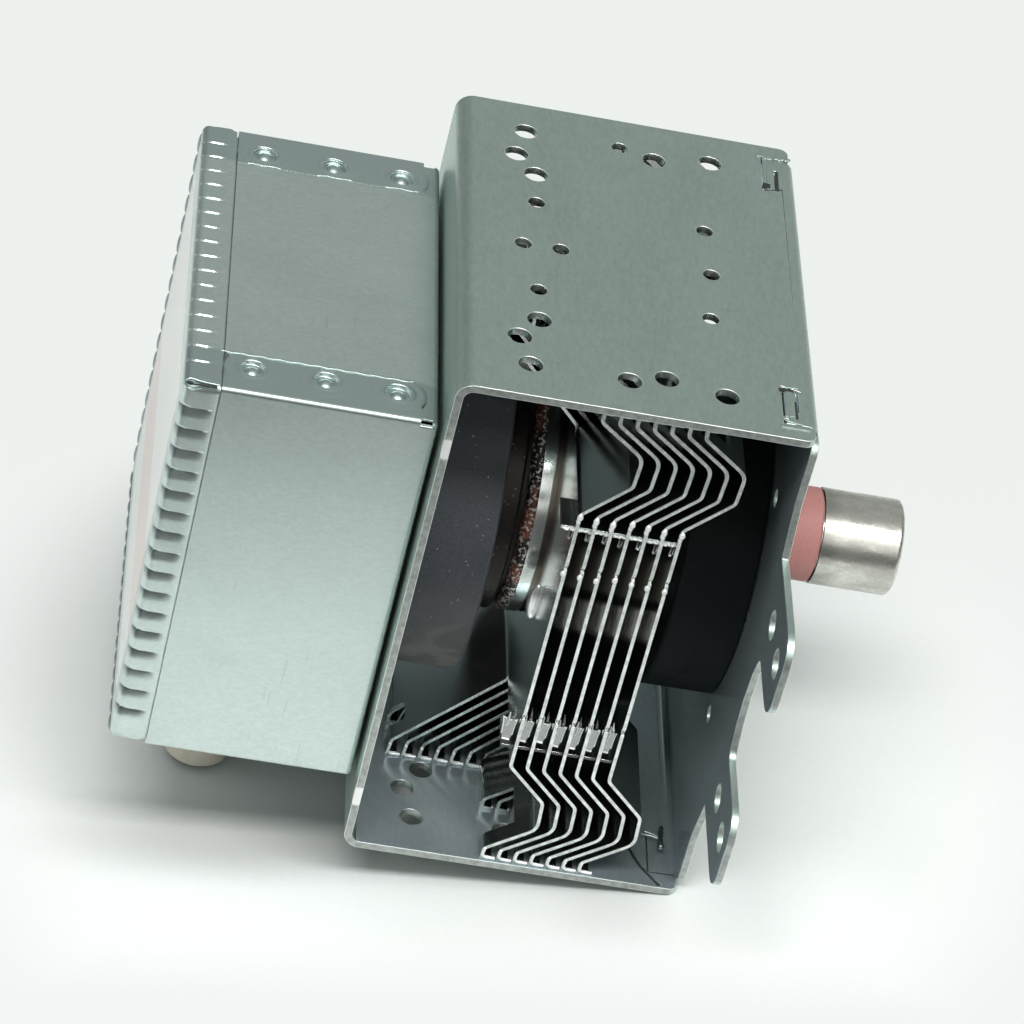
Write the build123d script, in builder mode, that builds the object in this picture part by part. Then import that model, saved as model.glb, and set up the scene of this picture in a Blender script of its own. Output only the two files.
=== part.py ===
from build123d import *
import math
import os

os.makedirs("parts", exist_ok=True)

# Origin: on the antenna axis, in the plane of the mounting ears' outer faces.
# +X runs out along the antenna, +Z up through the holed side plate.

# Clearances
seat_gap = 0.3

# Yoke
yoke_width = 80.0
yoke_height = 93.4
yoke_sheet = 1.3
yoke_bend = 1.5
yoke_end_x = -55.9
joint_x = -2.6
corner_ear_x = -1.0
large_hole_r = 1.9
small_hole_r = 1.35
large_holes = [(-44.8, 32), (-44.8, -32), (-46.4, 25.1), (-46.4, -25.1), (-43.3, 20), (-43.3, -20),
               (-14.4, 32), (-14.4, -32), (-23.7, 30), (-23.7, -30), (-29.5, -32)]
small_holes = [(-43.3, 12), (-43.3, -12), (-45.6, 0), (-39.6, 0), (-29.3, 32), (-16.1, 12),
               (-16.1, -12), (-15.5, 0)]

# Base plate
plate_sheet = 1.2
plate_bend = 1.0
plate_half_width = 39.2
ear_reach = 63.2
ear_inner_z = 10.2
ear_outer_z = 25.3
ear_corner = 4.6
ear_hole_r = 2.4
ear_hole_z = 17.8
ear_hole_margin = 5.4
ear_hole_pitch = 9.2
dish_depth = 0.8
dish_outer_r = 42.0
dish_slope_run = 4.0
dish_hole_r = 1.5
dish_hole_offset = 22.4
bore_r = 10.6

# Staked tabs of the base plate
tab_inner_y = 27.0
tab_outer_y = 36.3
tab_length = 2.9
tab_taper = 1.0

# Tube
anode_r = 19.6
anode_bore_r = 17.6
anode_start_x = -33.7
anode_length = 18.2
rim_thickness = 2.0
filter_rim_r = 20.0
cup_r = 17.6
cup_sheet = 0.6
neck_r = 9.6
neck_start_x = -61.0
neck_end_x = 4.0
pole_sheet = 1.0
pole_flange_r = 18.6
pole_hole_r = 4.6
pole_tip_r = 7.0
vane_count = 10
vane_tip_r = 4.6
vane_sheet = 1.9
vane_height = 9.5
strap_inner_r = 7.0
strap_outer_r = 8.6
strap_width = 0.8
pole_tip_gap = 1.7
hat_r = 3.4
hat_sheet = 0.8
lead_r = 0.75
side_lead_r = 0.5
side_lead_offset = 2.4
coil_r = 1.7
coil_wire = 0.5
stem_r = 8.0
stem_end_x = -72.0
lead_end_x = -76.0

# Magnets
filter_magnet_r = 30.8
filter_magnet_end_x = -42.5
antenna_magnet_r = 28.2
antenna_magnet_start_x = -12.5
seat_ring_r = 20.2
seat_ring_end_x = -38.3

# Cooling fins
fin_count = 7
fin_pitch = 2.66
first_fin_x = -32.6
fin_sheet = 0.6
fin_half_width = 39.3
fin_flat_half = 25.8
fin_slit_y = 17.3
fin_slit = 0.3
collar_length = 2.3
collar_sheet = 0.6
foot_length = 1.9
flap_y = 31.4
flap_width = 7.0
flap_z = 22.0

# Antenna
ceramic_r = 7.8
ceramic_bore_r = 5.5
ceramic_length = 8.8
cap_r = 7.95
cap_sheet = 0.5
cap_length = 13.3
cap_edge = 0.8
tube_r = 3.0
tube_length = 11.0
tube_flange_r = 7.45
antenna_lead_r = 0.8
antenna_lead_y = 10.2
gasket_bore_r = 9.9
gasket_r = 15.3
gasket_length = 4.5

# Filter box
box_half = 35.5
box_bottom_drop = 0.7
box_sheet = 0.5
box_gap = 0.6
box_end_x = -94.8
box_edge = 1.0
band_step = 0.4
band_width = 9.6
band_fold_r = 0.8
band_end_gap = 2.8
clinch_r = 1.95
clinch_xs = [-85.3, -74.0, -62.9]
lid_step = 0.2
lid_sheet = 0.6
lid_face_x = -95.6
lid_rim = 5.6
lid_corner = 1.6
crimp_count = 16
crimp_margin = 5.7
crimp_shifts = [0.1, 0.9, 0.5, 0.5]
crimp_length = 4.8
crimp_depth = 0.45
crimp_steep_run = 0.25
crimp_slow_run = 2.0
seam_width = 0.35
seam_eye_r = 0.6

# Feed-through capacitor and chokes
capacitor_x = -79.0
housing_length = 27.0
housing_width = 11.0
housing_wall = 1.2
housing_drop = 21.8
capacitor_rise = 9.2
flange_length = 44.0
flange_width = 16.0
flange_sheet = 0.8
rivet_r = 1.4
tab_width = 6.35
tab_sheet = 0.8
tab_y = 6.2
choke_y = 12.0
choke_r = 4.4
choke_wire = 1.4
choke_turns = 7
choke_pitch = 2.2
choke_sides = 8
choke_rise = 15.2
core_r = 2.5
core_length = 25.0

# Derived positions
yoke_inner_x = yoke_end_x + yoke_sheet
yoke_inner_z = yoke_height / 2 - yoke_sheet
flange_inner_z = yoke_height / 2 - plate_sheet
anode_end_x = anode_start_x + anode_length
anode_mid_x = (anode_start_x + anode_end_x) / 2
vane_start_x = anode_mid_x - vane_height / 2
vane_end_x = anode_mid_x + vane_height / 2
ear_hole_outer_y = ear_reach - ear_hole_margin
ear_hole_inner_y = ear_hole_outer_y - ear_hole_pitch
dish_inner_r = dish_outer_r - dish_slope_run
box_start_x = yoke_end_x - box_gap
box_top = box_half - band_step
box_bottom = box_half + box_bottom_drop
band_inner_y = box_half - band_width
lid_half = box_half + lid_step
crimp_pitch = 2 * (lid_half - crimp_margin) / (crimp_count - 1)
housing_end_z = -box_bottom - housing_drop
capacitor_top_z = -box_bottom + capacitor_rise
choke_base_z = -box_bottom + choke_rise


def bent_sheet(points, radii, sheet, side):
    with BuildLine() as outline:
        FilletPolyline(*points, radius=radii)
        offset(amount=sheet, side=side)
    make_face(outline.edges())


def ring(outer_r, inner_r):
    Circle(outer_r)
    Circle(inner_r, mode=Mode.SUBTRACT)


with BuildPart() as yoke:
    with BuildSketch(Plane.XZ):
        bent_sheet(
            [(corner_ear_x, yoke_inner_z), (yoke_inner_x, yoke_inner_z),
             (yoke_inner_x, -yoke_inner_z), (corner_ear_x, -yoke_inner_z)],
            yoke_bend, yoke_sheet, Side.RIGHT)
    extrude(amount=yoke_width / 2, both=True)
    # Cut back to the joint between the corner ears, with the slots for the staked tabs
    with BuildSketch(Plane.XY.offset(-yoke_height)):
        with Locations((joint_x, 0)):
            Rectangle(10, 2 * (tab_outer_y + seat_gap), align=(Align.MIN, Align.CENTER))
        for side in (1, -1):
            with BuildLine():
                Polyline(
                    (joint_x, side * (tab_inner_y + tab_taper - seat_gap)),
                    (joint_x - tab_length - seat_gap, side * (tab_inner_y - seat_gap)),
                    (joint_x - tab_length - seat_gap, side * (tab_outer_y + seat_gap)),
                    (joint_x, side * (tab_outer_y + seat_gap)), close=True)
            make_face()
    extrude(amount=2 * yoke_height, mode=Mode.SUBTRACT)
    with BuildSketch(Plane.XY.offset(-yoke_height)):
        with Locations(*large_holes):
            Circle(large_hole_r)
        with Locations(*small_holes):
            Circle(small_hole_r)
    extrude(amount=2 * yoke_height, mode=Mode.SUBTRACT)
    with BuildSketch(Plane.YZ.offset(yoke_end_x)):
        Circle(bore_r)
    extrude(amount=yoke_sheet, mode=Mode.SUBTRACT)
    # Upset ridges where the corner ears were struck to close on the tabs
    for x_side in (1, -1):
        for y_side in (1, -1):
            with Locations((joint_x - tab_length / 2, y_side * (tab_outer_y + 2.5 * seat_gap),
                            x_side * (yoke_height / 2 + 0.1))):
                Box(4.4, 0.8, 0.2)
    outer_corners = yoke.edges().filter_by(Axis.Z).filter_by(
        lambda edge: abs(abs(edge.center().Y) - yoke_width / 2) < 0.01 and edge.length < 2 * yoke_sheet)
    fillet(outer_corners.group_by(Axis.X)[-1], 1.5)

with BuildPart() as base_plate:
    with BuildSketch(Plane.XZ):
        bent_sheet(
            [(joint_x, flange_inner_z), (-plate_sheet, flange_inner_z),
             (-plate_sheet, -flange_inner_z), (joint_x, -flange_inner_z)],
            plate_bend, plate_sheet, Side.LEFT)
    extrude(amount=ear_reach, both=True)
    with BuildSketch(Plane.YZ.offset(joint_x)):
        with BuildLine() as outline:
            Polyline(
                (0, yoke_height / 2), (tab_outer_y, yoke_height / 2), (tab_outer_y, yoke_inner_z - seat_gap),
                (plate_half_width, yoke_inner_z - seat_gap), (plate_half_width, 34), (40.3, 30),
                (41.6, ear_outer_z), (ear_reach, ear_outer_z), (ear_reach, ear_inner_z),
                (47.4, ear_inner_z), (45.9, 5.5), (45.3, 0))
            mirror(about=Plane.XZ)
            mirror(about=Plane.YZ)
        make_face()
        corners = vertices().filter_by(lambda vertex: abs(abs(vertex.X) - ear_reach) < 0.01)
        fillet(corners, ear_corner)
        corners = vertices().filter_by(
            lambda vertex: abs(abs(vertex.X) - plate_half_width) < 0.01 and abs(vertex.Y) > 40)
        fillet(corners, 2.6)
        corners = vertices().filter_by(
            lambda vertex: abs(abs(vertex.Y) - ear_inner_z) < 0.01 and abs(vertex.X) < 50)
        fillet(corners, 2.0)
    extrude(amount=-joint_x, mode=Mode.INTERSECT)
    # Shallow dish pressed outwards
    with BuildSketch(Plane.YZ):
        Circle(dish_outer_r)
    extrude(amount=-plate_sheet, mode=Mode.SUBTRACT)
    with BuildSketch(Plane.XY):
        with BuildLine():
            Polyline(
                (0, dish_outer_r), (dish_depth, dish_inner_r), (dish_depth, bore_r),
                (dish_depth - plate_sheet, bore_r), (dish_depth - plate_sheet, dish_inner_r),
                (-plate_sheet, dish_outer_r), close=True)
        make_face()
    revolve(axis=Axis.X)
    with BuildSketch(Plane.YZ.offset(-plate_sheet)):
        with GridLocations(2 * ear_hole_inner_y, 2 * ear_hole_z, 2, 2):
            Circle(ear_hole_r)
        with GridLocations(2 * ear_hole_outer_y, 2 * ear_hole_z, 2, 2):
            Circle(ear_hole_r)
        with GridLocations(2 * dish_hole_offset, 2 * dish_hole_offset, 2, 2):
            Circle(dish_hole_r)
    extrude(amount=2 * plate_sheet, mode=Mode.SUBTRACT)
    # Staked tabs that hook into the side plates, each with its stake mark
    for level in (flange_inner_z, -yoke_height / 2):
        with BuildSketch(Plane.XY.offset(level)):
            for side in (1, -1):
                with BuildLine():
                    Polyline(
                        (joint_x, side * (tab_inner_y + tab_taper)),
                        (joint_x - tab_length, side * tab_inner_y),
                        (joint_x - tab_length, side * tab_outer_y),
                        (joint_x, side * tab_outer_y), close=True)
                make_face()
        extrude(amount=plate_sheet)
    for side in (1, -1):
        with Locations((joint_x - 0.9, 0, side * yoke_height / 2)):
            with Locations((0, (tab_inner_y + tab_outer_y) / 2 - 1.2, 0),
                           (0, -(tab_inner_y + tab_outer_y) / 2 + 1.2, 0)):
                Box(0.45, 5.2, 1.0, mode=Mode.SUBTRACT)
            with Locations((-1.2, tab_inner_y + 1.2, 0), (-1.2, -tab_inner_y - 1.2, 0)):
                Box(0.9, 1.0, 0.8, mode=Mode.SUBTRACT)

with BuildPart() as filter_end_magnet:
    with BuildSketch(Plane.YZ.offset(yoke_inner_x)):
        ring(filter_magnet_r, neck_r + 0.7)
    extrude(amount=filter_magnet_end_x - yoke_inner_x)
    chamfer(filter_end_magnet.edges().filter_by(GeomType.CIRCLE).group_by(SortBy.RADIUS)[-1], 0.4)

with BuildPart() as antenna_end_magnet:
    with BuildSketch(Plane.YZ.offset(antenna_magnet_start_x)):
        ring(antenna_magnet_r, neck_r + 0.7)
    extrude(amount=dish_depth - plate_sheet - antenna_magnet_start_x)
    chamfer(antenna_end_magnet.edges().filter_by(GeomType.CIRCLE).group_by(SortBy.RADIUS)[-1], 0.4)

with BuildPart() as magnet_seat_ring:
    with BuildSketch(Plane.YZ.offset(filter_magnet_end_x)):
        ring(seat_ring_r, neck_r + seat_gap)
    extrude(amount=seat_ring_end_x - filter_magnet_end_x)
    chamfer(magnet_seat_ring.edges().filter_by(GeomType.CIRCLE).group_by(SortBy.RADIUS)[-1], 0.4)

with BuildPart() as anode_cylinder:
    with BuildSketch(Plane.YZ.offset(anode_start_x)):
        ring(anode_r, anode_bore_r)
    extrude(amount=anode_length)

for index in range(vane_count):
    with BuildPart() as vane:
        with BuildSketch(Plane.YZ.offset(vane_start_x)):
            with Locations(Rot(0, 0, 360 * index / vane_count)):
                with Locations((vane_tip_r, 0)):
                    Rectangle(anode_bore_r - seat_gap - vane_tip_r, vane_sheet,
                              align=(Align.MIN, Align.CENTER))
        extrude(amount=vane_height)
    vane.part.label = f"vane_{index + 1}"
    export_step(vane.part, f"parts/vane_{index + 1}.step")

strap_names = ["strap_inner", "strap_outer"]
for strap_name, strap_r in zip(strap_names, (strap_inner_r, strap_outer_r)):
    for end_name, strap_x in (("filter_end", vane_start_x - strap_width), ("antenna_end", vane_end_x)):
        with BuildPart() as strap:
            with BuildSketch(Plane.YZ.offset(strap_x)):
                ring(strap_r + strap_width / 2, strap_r - strap_width / 2)
            extrude(amount=strap_width)
        strap.part.label = f"{strap_name}_{end_name}"
        export_step(strap.part, f"parts/{strap_name}_{end_name}.step")

# Funnel pole pieces: a flat flange on the anode's end, a cone towards the vanes
for end_name, face_x, tip_x, away in (
        ("filter_end", anode_start_x, vane_start_x - pole_tip_gap, -1),
        ("antenna_end", anode_end_x, vane_end_x + pole_tip_gap, 1)):
    with BuildPart() as pole_piece:
        with BuildSketch(Plane.XY):
            with BuildLine():
                Polyline(
                    (face_x, pole_flange_r), (face_x, 13.5), (tip_x, pole_tip_r), (tip_x, pole_hole_r),
                    (tip_x + away * pole_sheet, pole_hole_r), (tip_x + away * pole_sheet, pole_tip_r - 0.4),
                    (face_x + away * pole_sheet, 12.6), (face_x + away * pole_sheet, pole_flange_r),
                    close=True)
            make_face()
        revolve(axis=Axis.X)
        if end_name == "antenna_end":
            with BuildSketch(Plane.YZ.offset(tip_x)):
                with Locations((antenna_lead_y - 0.2, 0)):
                    Circle(2 * antenna_lead_r)
            extrude(amount=2 * pole_tip_gap + pole_sheet, mode=Mode.SUBTRACT)
    pole_piece.part.label = f"pole_piece_{end_name}"
    export_step(pole_piece.part, f"parts/pole_piece_{end_name}.step")

# Sealing cups: a rim on the anode's end, a wall, and the neck through the magnet
recess = pole_sheet + seat_gap
with BuildPart() as seal_cup_filter_end:
    with BuildSketch(Plane.XY):
        with BuildLine():
            Polyline(
                (anode_start_x, pole_flange_r + seat_gap), (anode_start_x, filter_rim_r),
                (anode_start_x - rim_thickness, filter_rim_r), (anode_start_x - rim_thickness, cup_r),
                (seat_ring_end_x, cup_r), (seat_ring_end_x, neck_r), (neck_start_x, neck_r),
                (neck_start_x, neck_r - cup_sheet), (seat_ring_end_x + cup_sheet, neck_r - cup_sheet),
                (seat_ring_end_x + cup_sheet, cup_r - cup_sheet),
                (anode_start_x - recess, cup_r - cup_sheet),
                (anode_start_x - recess, pole_flange_r + seat_gap), close=True)
        make_face()
    revolve(axis=Axis.X)

with BuildPart() as seal_cup_antenna_end:
    with BuildSketch(Plane.XY):
        with BuildLine():
            Polyline(
                (anode_end_x, pole_flange_r + seat_gap), (anode_end_x, anode_r),
                (anode_end_x + rim_thickness, anode_r), (anode_end_x + rim_thickness, cup_r),
                (antenna_magnet_start_x, cup_r), (antenna_magnet_start_x, neck_r), (neck_end_x, neck_r),
                (neck_end_x, ceramic_bore_r + 0.1), (neck_end_x - cup_sheet, ceramic_bore_r + 0.1),
                (neck_end_x - cup_sheet, neck_r - cup_sheet),
                (antenna_magnet_start_x - cup_sheet, neck_r - cup_sheet),
                (antenna_magnet_start_x - cup_sheet, cup_r - cup_sheet),
                (anode_end_x + recess, cup_r - cup_sheet),
                (anode_end_x + recess, pole_flange_r + seat_gap), close=True)
        make_face()
    revolve(axis=Axis.X)

# Cathode
hat_gap = 0.5
with BuildPart() as end_hat_antenna_side:
    with BuildSketch(Plane.YZ.offset(vane_end_x + hat_gap)):
        Circle(hat_r)
    extrude(amount=hat_sheet)

with BuildPart() as end_hat_filter_side:
    with BuildSketch(Plane.YZ.offset(vane_start_x - hat_gap - hat_sheet)):
        ring(hat_r, lead_r + seat_gap)
    extrude(amount=hat_sheet)

with BuildPart() as centre_lead:
    with BuildSketch(Plane.YZ.offset(lead_end_x)):
        Circle(lead_r)
    extrude(amount=vane_end_x + hat_gap - lead_end_x)

with BuildPart() as side_lead:
    with BuildSketch(Plane.YZ.offset(lead_end_x)):
        with Locations((side_lead_offset, 0)):
            Circle(side_lead_r)
    extrude(amount=vane_start_x - hat_gap - hat_sheet - lead_end_x)

filament_turns = 5
filament_length = vane_height + 2 * hat_gap - 1.6 * coil_wire
filament_points = [
    (anode_mid_x - filament_length / 2 + filament_length * step / (filament_turns * 6),
     coil_r * math.cos(math.radians(60 * step)), coil_r * math.sin(math.radians(60 * step)))
    for step in range(filament_turns * 6 + 1)]
with BuildPart() as filament:
    with BuildLine() as filament_path:
        Polyline(*filament_points)
    with BuildSketch(Plane(filament_points[0], x_dir=(1, 0, 0), z_dir=filament_path.line % 0)):
        Rectangle(coil_wire, coil_wire)
    sweep(transition=Transition.RIGHT)

with BuildPart() as cathode_stem:
    with BuildSketch(Plane.YZ.offset(neck_start_x)):
        Circle(stem_r)
        Circle(lead_r + seat_gap, mode=Mode.SUBTRACT)
        with Locations((side_lead_offset, 0)):
            Circle(side_lead_r + seat_gap, mode=Mode.SUBTRACT)
    extrude(amount=stem_end_x - neck_start_x)
    chamfer(cathode_stem.faces().sort_by(Axis.X)[0].outer_wire().edges(), 0.6)

# Antenna
ceramic_end_x = neck_end_x + ceramic_length
with BuildPart() as antenna_ceramic:
    with BuildSketch(Plane.YZ.offset(neck_end_x)):
        ring(ceramic_r, ceramic_bore_r)
    extrude(amount=ceramic_length)
    fillet(antenna_ceramic.faces().sort_by(Axis.X)[-1].outer_wire().edges(), 0.6)

with BuildPart() as exhaust_tube:
    with BuildSketch(Plane.YZ.offset(ceramic_end_x)):
        ring(tube_flange_r - 0.4, tube_r - 0.5)
    extrude(amount=0.6)
    with BuildSketch(Plane.YZ.offset(ceramic_end_x)):
        ring(tube_r, tube_r - 0.5)
    extrude(amount=tube_length)
    # Pinched end
    with BuildSketch(Plane.YZ.offset(ceramic_end_x + tube_length)):
        Circle(tube_r)
    with BuildSketch(Plane.YZ.offset(ceramic_end_x + tube_length + 1.6)):
        Ellipse(tube_r + 0.3, 0.6)
    loft()

# Lead from the first vane through the pole piece to the pinched tube
with BuildPart() as antenna_lead:
    with BuildLine():
        Polyline((vane_end_x, antenna_lead_y, 0), (anode_end_x - 0.7, antenna_lead_y, 0),
                 (antenna_magnet_start_x + 5.5, 0, 0), (ceramic_end_x + tube_length - 0.8, 0, 0))
    with BuildSketch(Plane((vane_end_x, antenna_lead_y, 0), x_dir=(0, 1, 0), z_dir=(1, 0, 0))):
        Circle(antenna_lead_r)
    sweep(transition=Transition.RIGHT)

with BuildPart() as antenna_cap:
    with BuildSketch(Plane.XY):
        with BuildLine():
            FilletPolyline(
                (ceramic_end_x + 0.1, cap_r), (ceramic_end_x + 0.1 + cap_length, cap_r),
                (ceramic_end_x + 0.1 + cap_length, 0), radius=cap_edge)
            offset(amount=cap_sheet, side=Side.RIGHT)
        make_face()
    revolve(axis=Axis.X)

with BuildPart() as gasket:
    with BuildSketch(Plane.YZ.offset(dish_depth)):
        ring(gasket_r, gasket_bore_r)
    extrude(amount=gasket_length)
    chamfer(gasket.edges().filter_by(GeomType.CIRCLE).group_by(Axis.X)[-1], 0.8)

# Cooling fins: each end is slit into three strips, folded different ways down to the side plates
edge_z = yoke_inner_z
fold_rise = edge_z - fin_flat_half
wing = [(foot_length - 0.95, edge_z), (-0.95, edge_z), (-0.9, fin_flat_half + 0.888 * fold_rise),
        (6.6, fin_flat_half + 0.607 * fold_rise), (6.35, fin_flat_half + 0.337 * fold_rise),
        (-0.3, fin_flat_half)]
wing_radii = [0, 1.4, 2.2, 1.2, 1.6]
tongue = [(foot_length - 16.7, edge_z), (-16.7, edge_z), (-16.4, fin_flat_half + 0.842 * fold_rise),
          (-0.3, fin_flat_half)]
tongue_radii = [0, 1.4, 1.6]
with BuildPart() as fin_blank:
    with BuildSketch(Plane.YZ.offset(-fin_sheet / 2)):
        Rectangle(2 * fin_half_width, 2 * fin_flat_half - 2)
    extrude(amount=fin_sheet)
    with BuildSketch(Plane.XZ):
        bent_sheet(wing + [(x, -z) for x, z in reversed(wing)], wing_radii + wing_radii[::-1],
                   fin_sheet, Side.LEFT)
    extrude(amount=fin_half_width, both=True)
    with BuildSketch(Plane.YZ.offset(-30)):
        with GridLocations(0, 4 * fin_flat_half - 2, 1, 2):
            Rectangle(2 * fin_slit_y + fin_slit, 2 * fin_flat_half)
    extrude(amount=60, mode=Mode.SUBTRACT)
    with BuildSketch(Plane.XZ):
        bent_sheet(tongue + [(x, -z) for x, z in reversed(tongue)], tongue_radii + tongue_radii[::-1],
                   fin_sheet, Side.LEFT)
    extrude(amount=fin_slit_y - fin_slit / 2, both=True)
    with BuildSketch(Plane.YZ.offset(-fin_sheet / 2)):
        Circle(anode_r + seat_gap + collar_sheet)
    extrude(amount=fin_sheet / 2 + collar_length)
    with BuildSketch(Plane.YZ.offset(-fin_sheet)):
        Circle(anode_r + seat_gap)
    extrude(amount=2 * collar_length, mode=Mode.SUBTRACT)
    # Spacer flaps turned out of their windows, and the notches in the strips' folded ends
    with BuildSketch(Plane.YZ.offset(-fin_sheet)):
        for row in (1, -1):
            with Locations((flap_y + flap_width / 2, row * (flap_z - 1.2)),
                           (-flap_y - flap_width / 2, row * (flap_z - 1.2))):
                Rectangle(flap_width, 2.4)
    extrude(amount=2 * fin_sheet, mode=Mode.SUBTRACT)
    for row in (1, -1):
        with Locations((-fin_pitch + fin_sheet / 2, flap_y + flap_width / 2, row * (flap_z + fin_sheet / 2)),
                       (-fin_pitch + fin_sheet / 2, -flap_y - flap_width / 2, row * (flap_z + fin_sheet / 2))):
            Box(fin_pitch, flap_width, fin_sheet, align=(Align.MIN, Align.CENTER, Align.CENTER))
    with BuildSketch(Plane.YZ.offset(-30)):
        for row in (1, -1):
            with Locations((31.6, row * (edge_z - 2.4)), (-31.6, row * (edge_z - 2.4))):
                Rectangle(8.5, 6.2)
            with Locations((11.5, row * (edge_z - 2.1)), (-11.5, row * (edge_z - 2.1))):
                Rectangle(4.4, 6.0)
        with GridLocations(2 * fin_half_width, 30.4, 2, 2):
            Rectangle(1.0, 0.8)
    extrude(amount=60, mode=Mode.SUBTRACT)

for index in range(fin_count):
    with BuildPart() as fin:
        with Locations((first_fin_x + fin_pitch * index, 0, 0)):
            add(fin_blank.part)
    fin.part.label = f"fin_{index + 1}"
    export_step(fin.part, f"parts/fin_{index + 1}.step")

# Filter box: a tray open towards the lid, joggled in under the lid's rim, with the side walls'
# flanges clinched over the top
shell_end_x = lid_face_x + lid_rim + seat_gap
joggle_half = lid_half - lid_sheet - seat_gap
with BuildPart() as filter_box:
    with BuildSketch(Plane.YZ.offset(shell_end_x)):
        with Locations((0, (box_top - box_bottom) / 2)):
            RectangleRounded(2 * box_half, box_top + box_bottom, box_edge)
    extrude(amount=box_start_x - shell_end_x)
    fillet(filter_box.faces().sort_by(Axis.X)[-1].edges(), 0.9)
    with BuildSketch(Plane.YZ.offset(box_end_x)):
        RectangleRounded(2 * joggle_half, 2 * joggle_half, box_edge)
    extrude(amount=shell_end_x - box_end_x)
    offset(amount=-box_sheet, openings=filter_box.faces().sort_by(Axis.X)[0])
    band_end_x = box_start_x - band_end_gap
    for side in (1, -1):
        with Locations((band_end_x, side * (band_inner_y + box_half) / 2, box_top)):
            Box(band_end_x - shell_end_x, box_half - band_inner_y, band_step,
                align=(Align.MAX, Align.CENTER, Align.MIN))
        with Locations((band_end_x, side * (box_half - box_edge / 2), box_top)):
            Box(band_end_x - shell_end_x, box_edge, box_edge, align=(Align.MAX, Align.CENTER, Align.MAX))
    fillet([edge for edge in filter_box.edges().filter_by(Axis.X)
            if edge.center().Z > box_top + band_step / 2 and abs(edge.center().Y) > box_half - 0.01],
           band_fold_r)
    # Corner notches where the flanges end short of the yoke
    with Locations(*[(band_end_x, side * box_half, box_top) for side in (1, -1)]):
        Box(2 * band_end_gap / 3, 2.2, 1.2, align=(Align.MIN, Align.CENTER, Align.CENTER),
            mode=Mode.SUBTRACT)
    with Locations(*[(x, side * (band_inner_y + 3.3), box_top + band_step)
                     for x in clinch_xs for side in (1, -1)]):
        Cylinder(clinch_r, 1.2, mode=Mode.SUBTRACT)
    with BuildSketch(Plane.YZ.offset(box_start_x - 2 * box_sheet)):
        Circle(bore_r)
    extrude(amount=4 * box_sheet, mode=Mode.SUBTRACT)
    # Pads that stand off the yoke
    with BuildSketch(Plane.YZ.offset(box_start_x)):
        with GridLocations(46, 46, 2, 2):
            Circle(2.5)
    extrude(amount=box_gap)
    with BuildSketch(Plane.XY.offset(-box_bottom)):
        with Locations((capacitor_x, 0)):
            SlotOverall(housing_length + 2 * seat_gap, housing_width + 2 * seat_gap, rotation=90)
    extrude(amount=2 * box_sheet, mode=Mode.SUBTRACT)

# Shape of one crimp: a steep side and a slow side
crimp_rise = 1.2 / crimp_depth
with BuildPart() as crimp:
    with BuildSketch(Plane.YZ.offset(-1)):
        with BuildLine():
            Polyline((0, 0), (crimp_steep_run * crimp_rise, crimp_depth * crimp_rise),
                     (-crimp_slow_run * crimp_rise, crimp_depth * crimp_rise), close=True)
        make_face()
    extrude(amount=crimp_length + 2)

with BuildPart() as filter_lid:
    with Locations((lid_face_x, 0, 0)):
        Box(lid_rim, 2 * lid_half, 2 * lid_half, align=(Align.MIN, Align.CENTER, Align.CENTER))
    fillet(filter_lid.edges().filter_by(Axis.X), lid_corner)
    offset(amount=-lid_sheet, openings=filter_lid.faces().sort_by(Axis.X)[-1])
    # Crimps pressed into the rim all round, deepest at the face and run out before the rim's end
    for turn, shift in enumerate(crimp_shifts):
        with Locations(Rot(90 * turn, 0, 0)):
            with Locations(*[Location((lid_face_x, crimp_pitch * (slot - (crimp_count - 1) / 2) + shift,
                                       lid_half - crimp_depth),
                                      (0, -math.degrees(math.atan2(crimp_depth, crimp_length)), 0))
                             for slot in range(crimp_count)]):
                add(crimp.part, mode=Mode.SUBTRACT)
        # Open seam between two rims, with an eye at the face
        with Locations(Rot(90 * turn + 45, 0, 0)):
            with Locations((lid_face_x + lid_sheet + seam_eye_r, 0, lid_half)):
                Box(lid_rim, seam_width, lid_half, align=(Align.MIN, Align.CENTER, Align.MIN),
                    mode=Mode.SUBTRACT)
                Cylinder(seam_eye_r, lid_half, align=(Align.CENTER, Align.CENTER, Align.MIN),
                         mode=Mode.SUBTRACT)

# Feed-through capacitor
body_end_z = -box_bottom - flange_sheet
with BuildPart() as capacitor_flange:
    with BuildSketch(Plane.XY.offset(body_end_z)):
        with Locations((capacitor_x, 0)):
            RectangleRounded(flange_width, flange_length, 2.0)
            SlotOverall(housing_length + 2 * seat_gap, housing_width + 2 * seat_gap, rotation=90,
                        mode=Mode.SUBTRACT)
    extrude(amount=flange_sheet)

with BuildPart() as capacitor_body:
    with BuildSketch(Plane.XY.offset(body_end_z)):
        with Locations((capacitor_x, 0)):
            SlotOverall(housing_length, housing_width, rotation=90)
            with Locations((0, tab_y), (0, -tab_y)):
                Rectangle(tab_sheet + 2 * seat_gap, tab_width + 2 * seat_gap, mode=Mode.SUBTRACT)
    extrude(amount=capacitor_top_z - body_end_z)

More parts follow.
